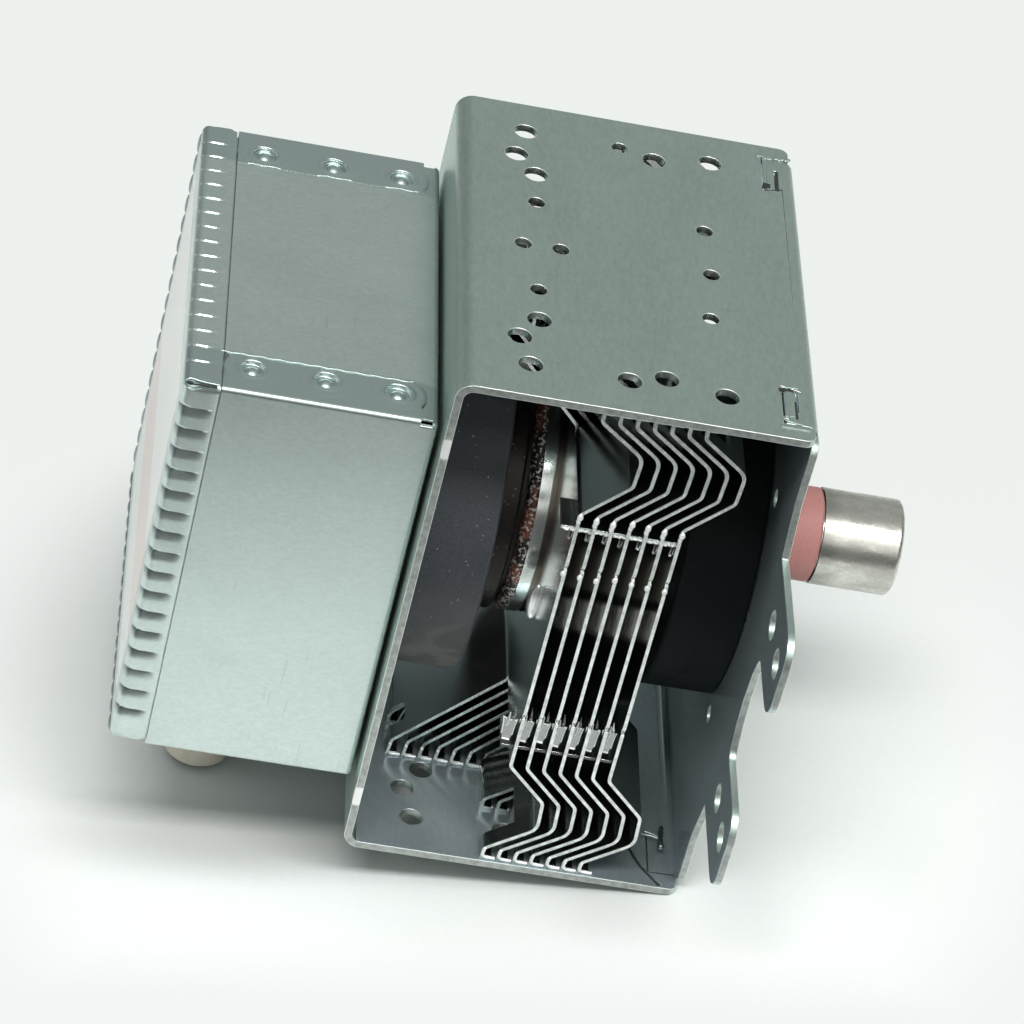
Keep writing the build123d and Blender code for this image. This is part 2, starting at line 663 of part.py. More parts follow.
with BuildPart() as capacitor_housing:
    with BuildSketch(Plane.XY.offset(housing_end_z)):
        with Locations((capacitor_x, 0)):
            SlotOverall(housing_length, housing_width, rotation=90)
    extrude(amount=body_end_z - housing_end_z)
    chamfer(capacitor_housing.faces().sort_by(Axis.Z)[0].edges(), 0.5)
    with BuildSketch(Plane.XY.offset(housing_end_z)):
        with Locations((capacitor_x, 0)):
            SlotOverall(housing_length - 2 * housing_wall, housing_width - 2 * housing_wall, rotation=90)
    extrude(amount=14, mode=Mode.SUBTRACT)
    with BuildSketch(Plane.XY.offset(housing_end_z)):
        with Locations((capacitor_x, tab_y), (capacitor_x, -tab_y)):
            Rectangle(tab_sheet + 2 * seat_gap, tab_width + 2 * seat_gap)
    extrude(amount=body_end_z - housing_end_z, mode=Mode.SUBTRACT)

for index, side in enumerate((1, -1)):
    with BuildPart() as terminal_tab:
        with BuildSketch(Plane.YZ.offset(capacitor_x - tab_sheet / 2)):
            with Locations((side * tab_y, 0)):
                with Locations((0, (housing_end_z + 3 + capacitor_top_z + 2) / 2)):
                    Rectangle(tab_width, capacitor_top_z + 2 - housing_end_z - 3)
                with Locations((0, housing_end_z + 6.5)):
                    Circle(0.9, mode=Mode.SUBTRACT)
        extrude(amount=tab_sheet)
        chamfer(terminal_tab.edges().filter_by(Axis.X).group_by(Axis.Z)[0], 1.0)
    terminal_tab.part.label = f"terminal_tab_{index + 1}"
    export_step(terminal_tab.part, f"parts/terminal_tab_{index + 1}.step")

with BuildPart() as capacitor_rivets:
    with BuildSketch(Plane.XY.offset(body_end_z)):
        with Locations((capacitor_x, 0)):
            with GridLocations(flange_width - 5, flange_length - 7, 2, 2):
                Circle(rivet_r)
    extrude(amount=-0.9)

# Chokes: a wire coil round a ferrite core, from each tab to the cathode's leads
for index, side in enumerate((1, -1)):
    coil_points = [
        (capacitor_x + choke_r * math.cos(2 * math.pi * step / choke_sides),
         side * choke_y + choke_r * math.sin(2 * math.pi * step / choke_sides),
         choke_base_z + choke_pitch * step / choke_sides)
        for step in range(choke_turns * choke_sides + 1)]
    with BuildPart() as choke_coil:
        with BuildLine() as coil_path:
            Polyline(*coil_points)
        with BuildSketch(Plane(coil_points[0], x_dir=(0, 0, 1), z_dir=coil_path.line % 0)):
            Rectangle(choke_wire, choke_wire)
        sweep(transition=Transition.RIGHT)
    choke_coil.part.label = f"choke_coil_{index + 1}"
    export_step(choke_coil.part, f"parts/choke_coil_{index + 1}.step")
    with BuildPart() as choke_core:
        with BuildSketch(Plane.XY.offset(choke_base_z - 4)):
            with Locations((capacitor_x, side * choke_y)):
                Circle(core_r)
        extrude(amount=core_length)
    choke_core.part.label = f"choke_core_{index + 1}"
    export_step(choke_core.part, f"parts/choke_core_{index + 1}.step")

named = {
    "yoke": yoke, "base_plate": base_plate, "filter_end_magnet": filter_end_magnet,
    "antenna_end_magnet": antenna_end_magnet, "magnet_seat_ring": magnet_seat_ring,
    "anode_cylinder": anode_cylinder, "seal_cup_filter_end": seal_cup_filter_end,
    "seal_cup_antenna_end": seal_cup_antenna_end, "end_hat_antenna_side": end_hat_antenna_side,
    "end_hat_filter_side": end_hat_filter_side, "centre_lead": centre_lead, "side_lead": side_lead,
    "filament": filament, "cathode_stem": cathode_stem, "antenna_ceramic": antenna_ceramic,
    "exhaust_tube": exhaust_tube, "antenna_lead": antenna_lead, "antenna_cap": antenna_cap,
    "gasket": gasket, "filter_box": filter_box, "filter_lid": filter_lid,
    "capacitor_flange": capacitor_flange, "capacitor_body": capacitor_body,
    "capacitor_housing": capacitor_housing, "capacitor_rivets": capacitor_rivets}
for name, piece in named.items():
    piece.part.label = name
    export_step(piece.part, f"parts/{name}.step")
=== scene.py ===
import math
import random

import bmesh
import bpy
from bpy.props import FloatProperty, FloatVectorProperty, PointerProperty
from mathutils import Matrix, Vector


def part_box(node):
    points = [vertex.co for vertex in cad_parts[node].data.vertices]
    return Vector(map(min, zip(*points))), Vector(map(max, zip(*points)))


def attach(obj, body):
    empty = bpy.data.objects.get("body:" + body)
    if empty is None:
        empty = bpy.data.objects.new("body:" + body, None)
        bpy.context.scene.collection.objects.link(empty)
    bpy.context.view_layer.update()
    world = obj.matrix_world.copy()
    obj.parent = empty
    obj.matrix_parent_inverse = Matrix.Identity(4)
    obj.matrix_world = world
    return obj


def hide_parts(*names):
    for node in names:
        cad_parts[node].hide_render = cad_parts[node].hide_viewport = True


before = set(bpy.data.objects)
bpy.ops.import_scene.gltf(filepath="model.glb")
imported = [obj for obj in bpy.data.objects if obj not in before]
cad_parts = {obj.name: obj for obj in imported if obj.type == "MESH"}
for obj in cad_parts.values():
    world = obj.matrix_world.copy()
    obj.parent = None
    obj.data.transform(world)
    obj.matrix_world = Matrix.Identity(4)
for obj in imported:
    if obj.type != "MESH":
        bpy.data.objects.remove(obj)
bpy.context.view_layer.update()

bl_info = {
    "name": "Magnetron",
    "version": (1, 0, 0),
    "blender": (4, 5, 0),
    "location": "View3D > Sidebar > Magnetron",
    "description": "Dresses the magnetron's frame with plated sheet, fins, magnets and ceramics",
    "category": "Object",
}

MM = 0.001
LID_LOW, LID_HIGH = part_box("filter_lid")


def colour(name, description, default):
    return FloatVectorProperty(
        name=name, description=description, default=default, size=3, min=0.0, max=1.0, subtype="COLOR")


def share(name, description, default):
    return FloatProperty(
        name=name, description=description, default=default, min=0.0, max=1.0, subtype="FACTOR")


class MagnetronFinish(bpy.types.PropertyGroup):
    zinc: colour("Zinc plate", "Plated sheet of the yoke and the base plate", (0.475, 0.575, 0.53))
    tin: colour("Tin plate", "Tinned sheet of the filter box and its lid", (0.61, 0.70, 0.672))
    cut_edge: colour("Cut edge", "Bare steel on the sheets' sheared edges", (0.46, 0.485, 0.465))
    fin_sheet: colour("Fin sheet", "Rolled aluminium of the cooling fins", (0.56, 0.58, 0.57))
    # Ferrite in two copies: the filter end magnet's paler as painted light, the antenna end magnet's darker
    # as painted shade.
    ferrite: colour("Ferrite", "Sintered magnet rings", (0.007, 0.009, 0.010))
    lit_ferrite: colour("Lit ferrite", "Ferrite of the filter end magnet, painted paler as lit", (0.042, 0.047, 0.055))
    soot: colour("Browned steel", "Heat-browned ring on the filter end magnet", (0.022, 0.017, 0.014))
    nickel: colour("Nickel plate", "Antenna cap and sealing cups", (0.72, 0.71, 0.655))
    copper: colour("Copper", "Vanes and straps", (0.75, 0.42, 0.31))
    # The anode's copper is dulled and also painted much darker, as painted shade between the ring and the
    # first fin.
    anode: colour("Anode", "Dulled copper painted darker as shade of the anode cylinder", (0.17, 0.145, 0.125))
    ceramic: colour("Pink ceramic", "Metallised alumina of the antenna", (0.47, 0.205, 0.19))
    moulding: colour("Connector moulding", "Shroud round the two tabs", (0.74, 0.68, 0.58))
    label: colour("Label", "Bare label on the lid", (0.93, 0.94, 0.92))
    label_band: colour("Label band", "Plain band across the label", (0.90, 0.80, 0.78))
    edge_round: FloatProperty(
        name="Edge rounding", description="Width of the worn edge on sheet metal",
        default=0.12 * MM, min=0.0, max=1.0 * MM, subtype="DISTANCE", unit="LENGTH", precision=6)
    grain: share("Sheet grain", "Strength of the plating's grain", 0.66)
    # Rubbed edges are painted near white, partly as wear and partly as a painted highlight.
    wear_and_highlight: share("Wear", "Brightness of rubbed edges", 0.7)


class MagnetronStudio(bpy.types.PropertyGroup):
    floor: colour("Floor", "Pale tabletop", (0.86, 0.885, 0.882))
    backdrop: colour("Backdrop", "What shows behind the floor", (0.85, 0.885, 0.86))
    floor_tilt: FloatProperty(
        name="Floor tilt", description="Lean of the floor under the resting part",
        default=math.radians(8.86), subtype="ANGLE", unit="ROTATION")
    key_power: FloatProperty(
        name="Key light", description="Power of the long strip light overhead", default=15.5, min=0.0,
        subtype="POWER", unit="POWER")
    card_power: FloatProperty(
        name="Front card", description="Power of the pale card that the cap mirrors", default=0.8, min=0.0,
        subtype="POWER", unit="POWER")
    contact_shade: share("Contact shade", "Darkening of the floor close under the part", 0.52)
    room_level: FloatProperty(
        name="Room", description="Brightness of the room behind the part", default=0.44, min=0.0)


# Node helpers


def rgba(value, level=1.0):
    return (level * value[0], level * value[1], level * value[2], 1.0)


class Graph:
    """Adds nodes to one shader tree. Most methods give back an output socket for the next one."""

    def __init__(self, tree):
        self.tree = tree

    def fill(self, entry, value):
        """Links an output socket to an input, or sets the input to a plain value."""
        if isinstance(value, bpy.types.NodeSocket):
            self.tree.links.new(value, entry)
        else:
            entry.default_value = value

    def feed(self, node, label, value):
        self.fill(node.inputs[label], value)

    def node(self, kind, values=None, **settings):
        made = self.tree.nodes.new("ShaderNode" + kind)
        for key, value in settings.items():
            setattr(made, key, value)
        for key, value in (values or {}).items():
            self.feed(made, key, value)
        return made

    def maths(self, operation, first, second=0.0):
        return self.node("Math", {0: first, 1: second}, operation=operation).outputs[0]

    def times(self, first, second):
        return self.maths("MULTIPLY", first, second)

    def plus(self, first, second):
        return self.maths("ADD", first, second)

    def minus(self, first, second):
        return self.maths("SUBTRACT", first, second)

    def larger(self, first, second):
        return self.maths("MAXIMUM", first, second)

    def ramp(self, value, low, high, low_level=0.0, high_level=1.0):
        return self.node("MapRange", {
            "Value": value, "From Min": low, "From Max": high, "To Min": low_level, "To Max": high_level},
            interpolation_type="SMOOTHSTEP").outputs["Result"]

    def ramp_mm(self, value, low, high):
        return self.ramp(value, low * MM, high * MM)

    def mix(self, factor, first, second, kind="MIX"):
        made = self.node("Mix", data_type="RGBA", blend_type=kind)
        sockets = {entry.identifier: entry for entry in made.inputs}
        for slot, value in (("Factor_Float", factor), ("A_Color", first), ("B_Color", second)):
            self.fill(sockets[slot], value)
        return next(entry for entry in made.outputs if entry.identifier == "Result_Color")

    def tinted(self, shade, base):
        grey = self.node("CombineColor", {"Red": shade, "Green": shade, "Blue": shade}).outputs[0]
        return self.mix(1.0, base, grey, "MULTIPLY")

    def place(self):
        return self.node("TexCoord").outputs["Object"]

    def axis(self, letter, place=None):
        return self.node("SeparateXYZ", {0: self.place() if place is None else place}).outputs[letter]

    def vector(self, operation, first, second):
        return self.node("VectorMath", {0: first, 1: second}, operation=operation).outputs[0]

    def length(self, value):
        return self.node("VectorMath", {0: value}, operation="LENGTH").outputs["Value"]

    def noise(self, scale, detail, place=None, **more):
        return self.node("TexNoise", {
            "Vector": self.place() if place is None else place, "Scale": scale, "Detail": detail,
            **more}).outputs["Fac"]

    def group(self, name, **values):
        made = self.node("Group")
        made.node_tree = bpy.data.node_groups[name]
        for key, value in values.items():
            self.feed(made, key.replace("_", " "), value)
        return made.outputs


def new_group(name, inputs, outputs):
    """A shader node group: its inputs by their defaults, its outputs by name."""
    tree = bpy.data.node_groups.new(name, "ShaderNodeTree")
    for label, default in inputs.items():
        kind = "NodeSocketVector" if isinstance(default, tuple) else "NodeSocketFloat"
        tree.interface.new_socket(label, in_out="INPUT", socket_type=kind).default_value = default
    for label in outputs:
        kind = "NodeSocketColor" if label == "Colour" else "NodeSocketFloat"
        tree.interface.new_socket(label, in_out="OUTPUT", socket_type=kind)
    return Graph(tree), tree.nodes.new("NodeGroupInput").outputs, tree.nodes.new("NodeGroupOutput")


# Shared effects

REFLECTION_BAND_SLOPE = 0.749
REFLECTION_BAND_OFFSET = 29.44 * MM


def sheet_grain_group():
    """Fine crystalline grain of plated sheet, longer along the rolling direction."""
    graph, given, out = new_group(
        "Sheet grain", {"Grain Size": 1400.0, "Stretch": (1.0, 1.0, 1.0), "Amount": 0.5},
        ("Shade", "Roughness Shift", "Height"))
    spread = graph.vector("MULTIPLY", graph.place(), given["Stretch"])
    fine = graph.noise(given["Grain Size"], 4.0, spread, Roughness=0.6)
    slow = graph.times(graph.minus(graph.noise(90.0, 3.0, spread), 0.5), 0.35)
    shade = graph.times(graph.plus(graph.minus(fine, 0.5), slow), given["Amount"])
    graph.feed(out, "Shade", graph.plus(shade, 1.0))
    graph.feed(out, "Roughness Shift", graph.times(shade, 0.35))
    graph.feed(out, "Height", fine)


def stain_group():
    """Soft patches where hands and flux dulled the plating."""
    graph, given, out = new_group("Handling stains", {"Patch Size": 30.0, "Coverage": 0.5}, ("Mask",))
    low = graph.minus(0.72, graph.times(given["Coverage"], 0.35))
    patches = graph.noise(given["Patch Size"], 5.0, Distortion=0.6)
    graph.feed(out, "Mask", graph.ramp(patches, low, graph.plus(low, 0.16)))


def scratch_group():
    """Short fine scratches, drawn out along the axis with the smallest length factor."""
    graph, given, out = new_group(
        "Fine scratches", {"Density": 0.5, "Length": (0.12, 1.6, 1.6)}, ("Mask",))
    place = graph.place()
    lines = graph.noise(900.0, 2.0, graph.vector("MULTIPLY", place, given["Length"]))
    where = graph.noise(45.0, 2.0, place)
    both = graph.times(graph.ramp(lines, 0.66, 0.74), graph.ramp(where, 0.45, 0.62))
    graph.feed(out, "Mask", graph.times(both, given["Density"]))


def edge_wear_and_painted_light_group():
    """Rubbed edges with their painted highlight, cut faces and faces for painted shade, from the marks
    stored on each piece.
    """
    graph, given, out = new_group("Edge wear and painted light", {"Strength": 0.7}, ("Edge", "Cut", "Inside"))
    marks = graph.node("Attribute", attribute_name="sheet_marks").outputs["Color"]
    parts = graph.node("SeparateColor", {"Color": marks}).outputs
    patchy = graph.ramp(graph.noise(420.0, 4.0), 0.25, 0.6, 0.45, 1.0)
    worn_and_highlit = graph.times(graph.times(parts["Red"], patchy), given["Strength"])
    for label, value in (("Edge", worn_and_highlit), ("Cut", parts["Green"]), ("Inside", parts["Blue"])):
        graph.feed(out, label, value)


def shear_group():
    """Drawn and torn bands across the thickness of a sheared edge."""
    graph, given, out = new_group("Sheared edge", {"Band Size": 900.0}, ("Shade",))
    torn = graph.noise(given["Band Size"], 5.0)
    graph.feed(out, "Shade", graph.ramp(torn, 0.3, 0.7, 0.72, 1.08))


def fin_painted_reflection_group():
    """Painted reflection on the fins' filter side faces, near the front edge: a brown band and lumpy grey
    marks standing for what the polished faces mirror.
    """
    graph, given, out = new_group("Fin painted reflection", {"Lump Size": 420.0}, ("Mask", "Colour"))
    coordinates = graph.node("TexCoord").outputs
    place = coordinates["Object"]
    facing = graph.ramp(graph.axis("X", coordinates["Normal"]), -0.80, -0.95)
    x, y, z = (graph.axis(letter, place) for letter in "XYZ")
    slant = graph.plus(graph.plus(z, graph.times(y, REFLECTION_BAND_SLOPE)), REFLECTION_BAND_OFFSET)
    front = graph.times(graph.ramp_mm(x, -32.4, -31.6), graph.ramp_mm(y, -22.0, -25.0))
    brown = graph.times(graph.ramp_mm(slant, 11.0, 12.6), graph.ramp_mm(slant, 21.0, 17.0))
    grey = graph.times(graph.ramp_mm(slant, 2.4, 4.4), graph.ramp_mm(slant, 10.2, 8.8))
    lumps = graph.noise(given["Lump Size"], 3.0, place, Distortion=0.4)
    uneven = graph.times(grey, graph.ramp(lumps, 0.36, 0.62, 0.45, 1.0))
    reflected_band = graph.larger(graph.times(brown, 0.85), grey)
    graph.feed(out, "Mask", graph.times(reflected_band, graph.times(facing, front)))
    graph.feed(out, "Colour", graph.mix(uneven, (0.17, 0.15, 0.105, 1.0), (0.80, 0.785, 0.77, 1.0)))


# Materials

# Near white on rubbed edges: wear, painted brighter than bare steel as a highlight.
WORN_EDGE_HIGHLIGHT = (0.93, 0.95, 0.93, 1.0)
# Near-white spots on the end plate's front edges: painted highlight.
PAINTED_HIGHLIGHT = (0.97, 0.97, 0.96, 1.0)
PAINTED_HIGHLIGHT_REACH = (1.6, 1.2, 2.2)
PAINTED_HIGHLIGHT_SPOTS = ((-55.2, -40.0, 34.2), (-55.2, -40.0, -36.0))
TIN_FLANGES = (0.475, 0.565, 0.555)


class Finish(Graph):
    """A material under construction."""

    def __init__(self, name):
        self.material = bpy.data.materials.new(name)
        self.material.use_nodes = True
        super().__init__(self.material.node_tree)
        self.shader = self.tree.nodes["Principled BSDF"]

    def close(self, colour, roughness, metallic, height, depth, strength):
        """Feeds the shader its colour, roughness, metal and bump, and gives back the material."""
        bump = self.node("Bump", {"Height": height, "Distance": depth, "Strength": strength})
        for label, value in (("Base Color", colour), ("Roughness", roughness), ("Metallic", metallic),
                             ("Normal", bump.outputs["Normal"])):
            self.feed(self.shader, label, value)
        return self.material


def painted_highlight_spots(graph, centres):
    """Mask of small painted highlight spots round given points of the piece."""
    place = graph.place()
    total = None
    for centre in centres:
        away = graph.vector("SUBTRACT", place, [part * MM for part in centre])
        scaled = graph.vector("MULTIPLY", away, [1.0 / (part * MM) for part in PAINTED_HIGHLIGHT_REACH])
        spot = graph.ramp(graph.length(scaled), 1.0, 0.75)
        total = spot if total is None else graph.larger(total, spot)
    return total


def flange_mask(graph):
    """Mask of the two flanges folded over the box's top."""
    place = graph.place()
    aside = graph.ramp_mm(graph.maths("ABSOLUTE", graph.axis("Y", place)), 25.2, 26.6)
    return graph.times(aside, graph.ramp_mm(graph.axis("Z", place), 34.4, 35.0))


def collar_finish():
    """Fin collars round the anode with a painted reflection: dark brown above, lumpy pale grey where they
    turn under, and a painted dark seam between.
    """
    graph = Finish("Fin collar")
    height = graph.axis("Z")
    lumps = graph.noise(620.0, 3.0)
    # Painted reflection: dark brown above, pale grey below where the collar turns toward the floor.
    low = graph.mix(graph.ramp_mm(height, -6.8, -8.4), (0.075, 0.066, 0.046, 1.0), (0.46, 0.45, 0.44, 1.0))
    painted_dark_seam = graph.times(graph.ramp_mm(height, -5.6, -6.6), graph.ramp_mm(height, -8.0, -7.0))
    painted_collar_tone = graph.mix(painted_dark_seam, low, (0.012, 0.011, 0.010, 1.0))
    shaded = graph.tinted(graph.ramp(lumps, 0.3, 0.7, 0.55, 1.15), painted_collar_tone)
    return graph.close(shaded, 0.34, 0.85, lumps, 0.0005, 0.8)


def braze_finish():
    """Speckled braze round the seal cup's rim: dark, with pale and coppery grains."""
    graph = Finish("Speckled braze")
    grains = graph.noise(1700.0, 2.0)
    coppery = graph.mix(graph.ramp(graph.noise(190.0, 3.0), 0.50, 0.62), (0.035, 0.028, 0.024, 1.0),
                        (0.30, 0.105, 0.07, 1.0))
    specked = graph.mix(graph.ramp(grains, 0.53, 0.60), coppery, (0.72, 0.70, 0.66, 1.0))
    return graph.close(specked, 0.4, 0.4, grains, 0.0002, 0.8)


def cap_finish(base):
    """Blotchy bright nickel, as left by plating over a drawn cup, with painted shade darkening the end next
    to the ceramic.
    """
    graph = Finish("Blotchy nickel")
    place = graph.place()
    drawn = graph.vector("MULTIPLY", place, (0.55, 1.0, 1.0))
    blotches = graph.noise(330.0, 5.0, drawn, Roughness=0.62, Distortion=0.2)
    fine = graph.ramp(graph.noise(2100.0, 3.0, place), 0.3, 0.7, 0.94, 1.04)
    shade = graph.times(graph.ramp(blotches, 0.35, 0.68, 0.71, 0.96), fine)
    # Painted shade: darker towards the end next to the ceramic.
    shade = graph.times(shade, graph.ramp(graph.axis("X", place), 13.0 * MM, 16.5 * MM, 0.72, 1.0))
    # Rubbed edges painted pale, as wear and as a painted highlight.
    worn_and_highlit = graph.group("Edge wear and painted light", Strength=0.6)["Edge"]
    colour = graph.mix(worn_and_highlit, graph.tinted(shade, rgba(base)), (0.90, 0.89, 0.84, 1.0))
    return graph.close(colour, graph.ramp(blotches, 0.35, 0.68, 0.36, 0.23), 1.0, blotches, 0.00012, 0.3)


def sheet_metal(name, base, cut, roughness, grain_size, grain, wear_and_highlight, stretch=(1.0, 1.0, 1.0), stains=0.6,
                scratches=0.2, scratch_length=(0.12, 1.6, 1.6), spots=None, painted_shade=None, polish=0.0,
                matt=0.0, band=None, painted_reflection=False):
    """Plated or bare sheet with grain, stains, scratches, rubbed edges painted brighter as a highlight and
    sheared cut faces, and where asked painted shade, painted highlight spots and a painted reflection.
    """
    graph = Finish(name)
    grained = graph.group("Sheet grain", Grain_Size=grain_size, Stretch=stretch, Amount=grain)
    stain = graph.group("Handling stains", Patch_Size=34.0, Coverage=stains)["Mask"]
    lines = graph.group("Fine scratches", Density=scratches, Length=scratch_length)["Mask"]
    edges = graph.group("Edge wear and painted light", Strength=wear_and_highlight)
    dulled = graph.mix(graph.times(stain, 0.22), rgba(base), rgba(base, 0.55))
    surface = graph.tinted(grained["Shade"], graph.mix(lines, dulled, rgba(base, 0.45)))
    # Painted shade: faces marked blue take a darker copy of the sheet's colour and their own roughness; off
    # the fins they are also less metallic and lose the grain bump.
    if painted_shade:
        surface = graph.mix(edges["Inside"], surface, graph.tinted(grained["Shade"], rgba(painted_shade)))
    if band:
        surface = graph.mix(flange_mask(graph), surface, rgba(band))
    sheared = graph.tinted(graph.group("Sheared edge")["Shade"], rgba(cut))
    colour = graph.mix(edges["Edge"], graph.mix(edges["Cut"], surface, sheared), WORN_EDGE_HIGHLIGHT)
    rough = graph.plus(graph.plus(grained["Roughness Shift"], roughness), graph.times(stain, 0.10))
    rough = graph.plus(rough, graph.times(edges["Cut"], 0.10))
    metallic = 1.0
    height = grained["Height"]
    if painted_shade:
        rough = graph.minus(rough, graph.times(edges["Inside"], polish))
    if painted_shade and not painted_reflection:
        metallic = graph.minus(1.0, graph.times(edges["Inside"], matt))
        height = graph.times(height, graph.minus(1.0, graph.times(edges["Inside"], 0.97)))
    # Painted highlight: near-white, rougher spots on the end plate's front edges.
    if spots:
        highlit = painted_highlight_spots(graph, spots)
        colour = graph.mix(highlit, colour, PAINTED_HIGHLIGHT)
        rough = graph.plus(rough, graph.times(highlit, 0.15))
    # Painted reflection on the fins' filter side faces: coloured in, and not metal there.
    if painted_reflection:
        reflection = graph.group("Fin painted reflection")
        colour = graph.mix(reflection["Mask"], colour, reflection["Colour"])
        metallic = graph.minus(1.0, reflection["Mask"])
    return graph.close(colour, rough, metallic, height, 0.00002, 0.35)


def solid_finish(name, base, roughness, metallic, grain_size, grain, depth, speck=None, speck_share=0.0,
                 specular=0.5, low_tone=None):
    """A solid material with grain, worn edges painted brighter as a highlight and, where asked, specks and a
    paler tone in patches towards the bottom.
    """
    graph = Finish(name)
    grained = graph.group("Sheet grain", Grain_Size=grain_size, Amount=grain)
    surface = graph.tinted(grained["Shade"], rgba(base))
    if speck:
        low = 0.80 - 0.2 * speck_share
        surface = graph.mix(graph.ramp(graph.noise(1500.0, 2.0), low, low + 0.04), surface, rgba(speck))
    # Where asked, a paler tone towards the bottom, in patches.
    if low_tone:
        low_part = graph.ramp_mm(graph.axis("Z"), 4.0, -20.0)
        cloud = graph.group("Handling stains", Patch_Size=120.0, Coverage=0.9)["Mask"]
        low_share = graph.times(low_part, graph.plus(graph.times(cloud, 0.5), 0.5))
        surface = graph.mix(low_share, surface, rgba(low_tone))
    worn_and_highlit = graph.group("Edge wear and painted light", Strength=0.35)["Edge"]
    # Worn edges painted brighter than the body, as wear and as a painted highlight.
    edge_highlight = rgba([min(1.0, 1.7 * part) for part in base])
    graph.feed(graph.shader, "Specular IOR Level", specular)
    return graph.close(graph.mix(worn_and_highlit, surface, edge_highlight), graph.plus(grained["Roughness Shift"], roughness),
                       metallic, grained["Height"], depth, 0.6)


def label_finish(finish):
    """Faintly streaked paper with one plain band across it."""
    graph = Finish("Bare label")
    place = graph.place()
    height = graph.axis("Z", place)
    band = graph.times(graph.ramp_mm(height, -18.0, -17.6), graph.ramp_mm(height, -1.0, -2.5))
    streaked = graph.node("Mapping", {"Vector": place, "Scale": (1.0, 260.0, 9.0)}).outputs[0]
    faint = graph.noise(3.0, 2.0, streaked)
    base = graph.mix(band, rgba(finish.label), rgba(finish.label_band))
    shaded = graph.tinted(graph.ramp(faint, 0.35, 0.65, 0.965, 1.0), base)
    return graph.close(shaded, 0.38, 0.0, faint, 0.00001, 0.3)


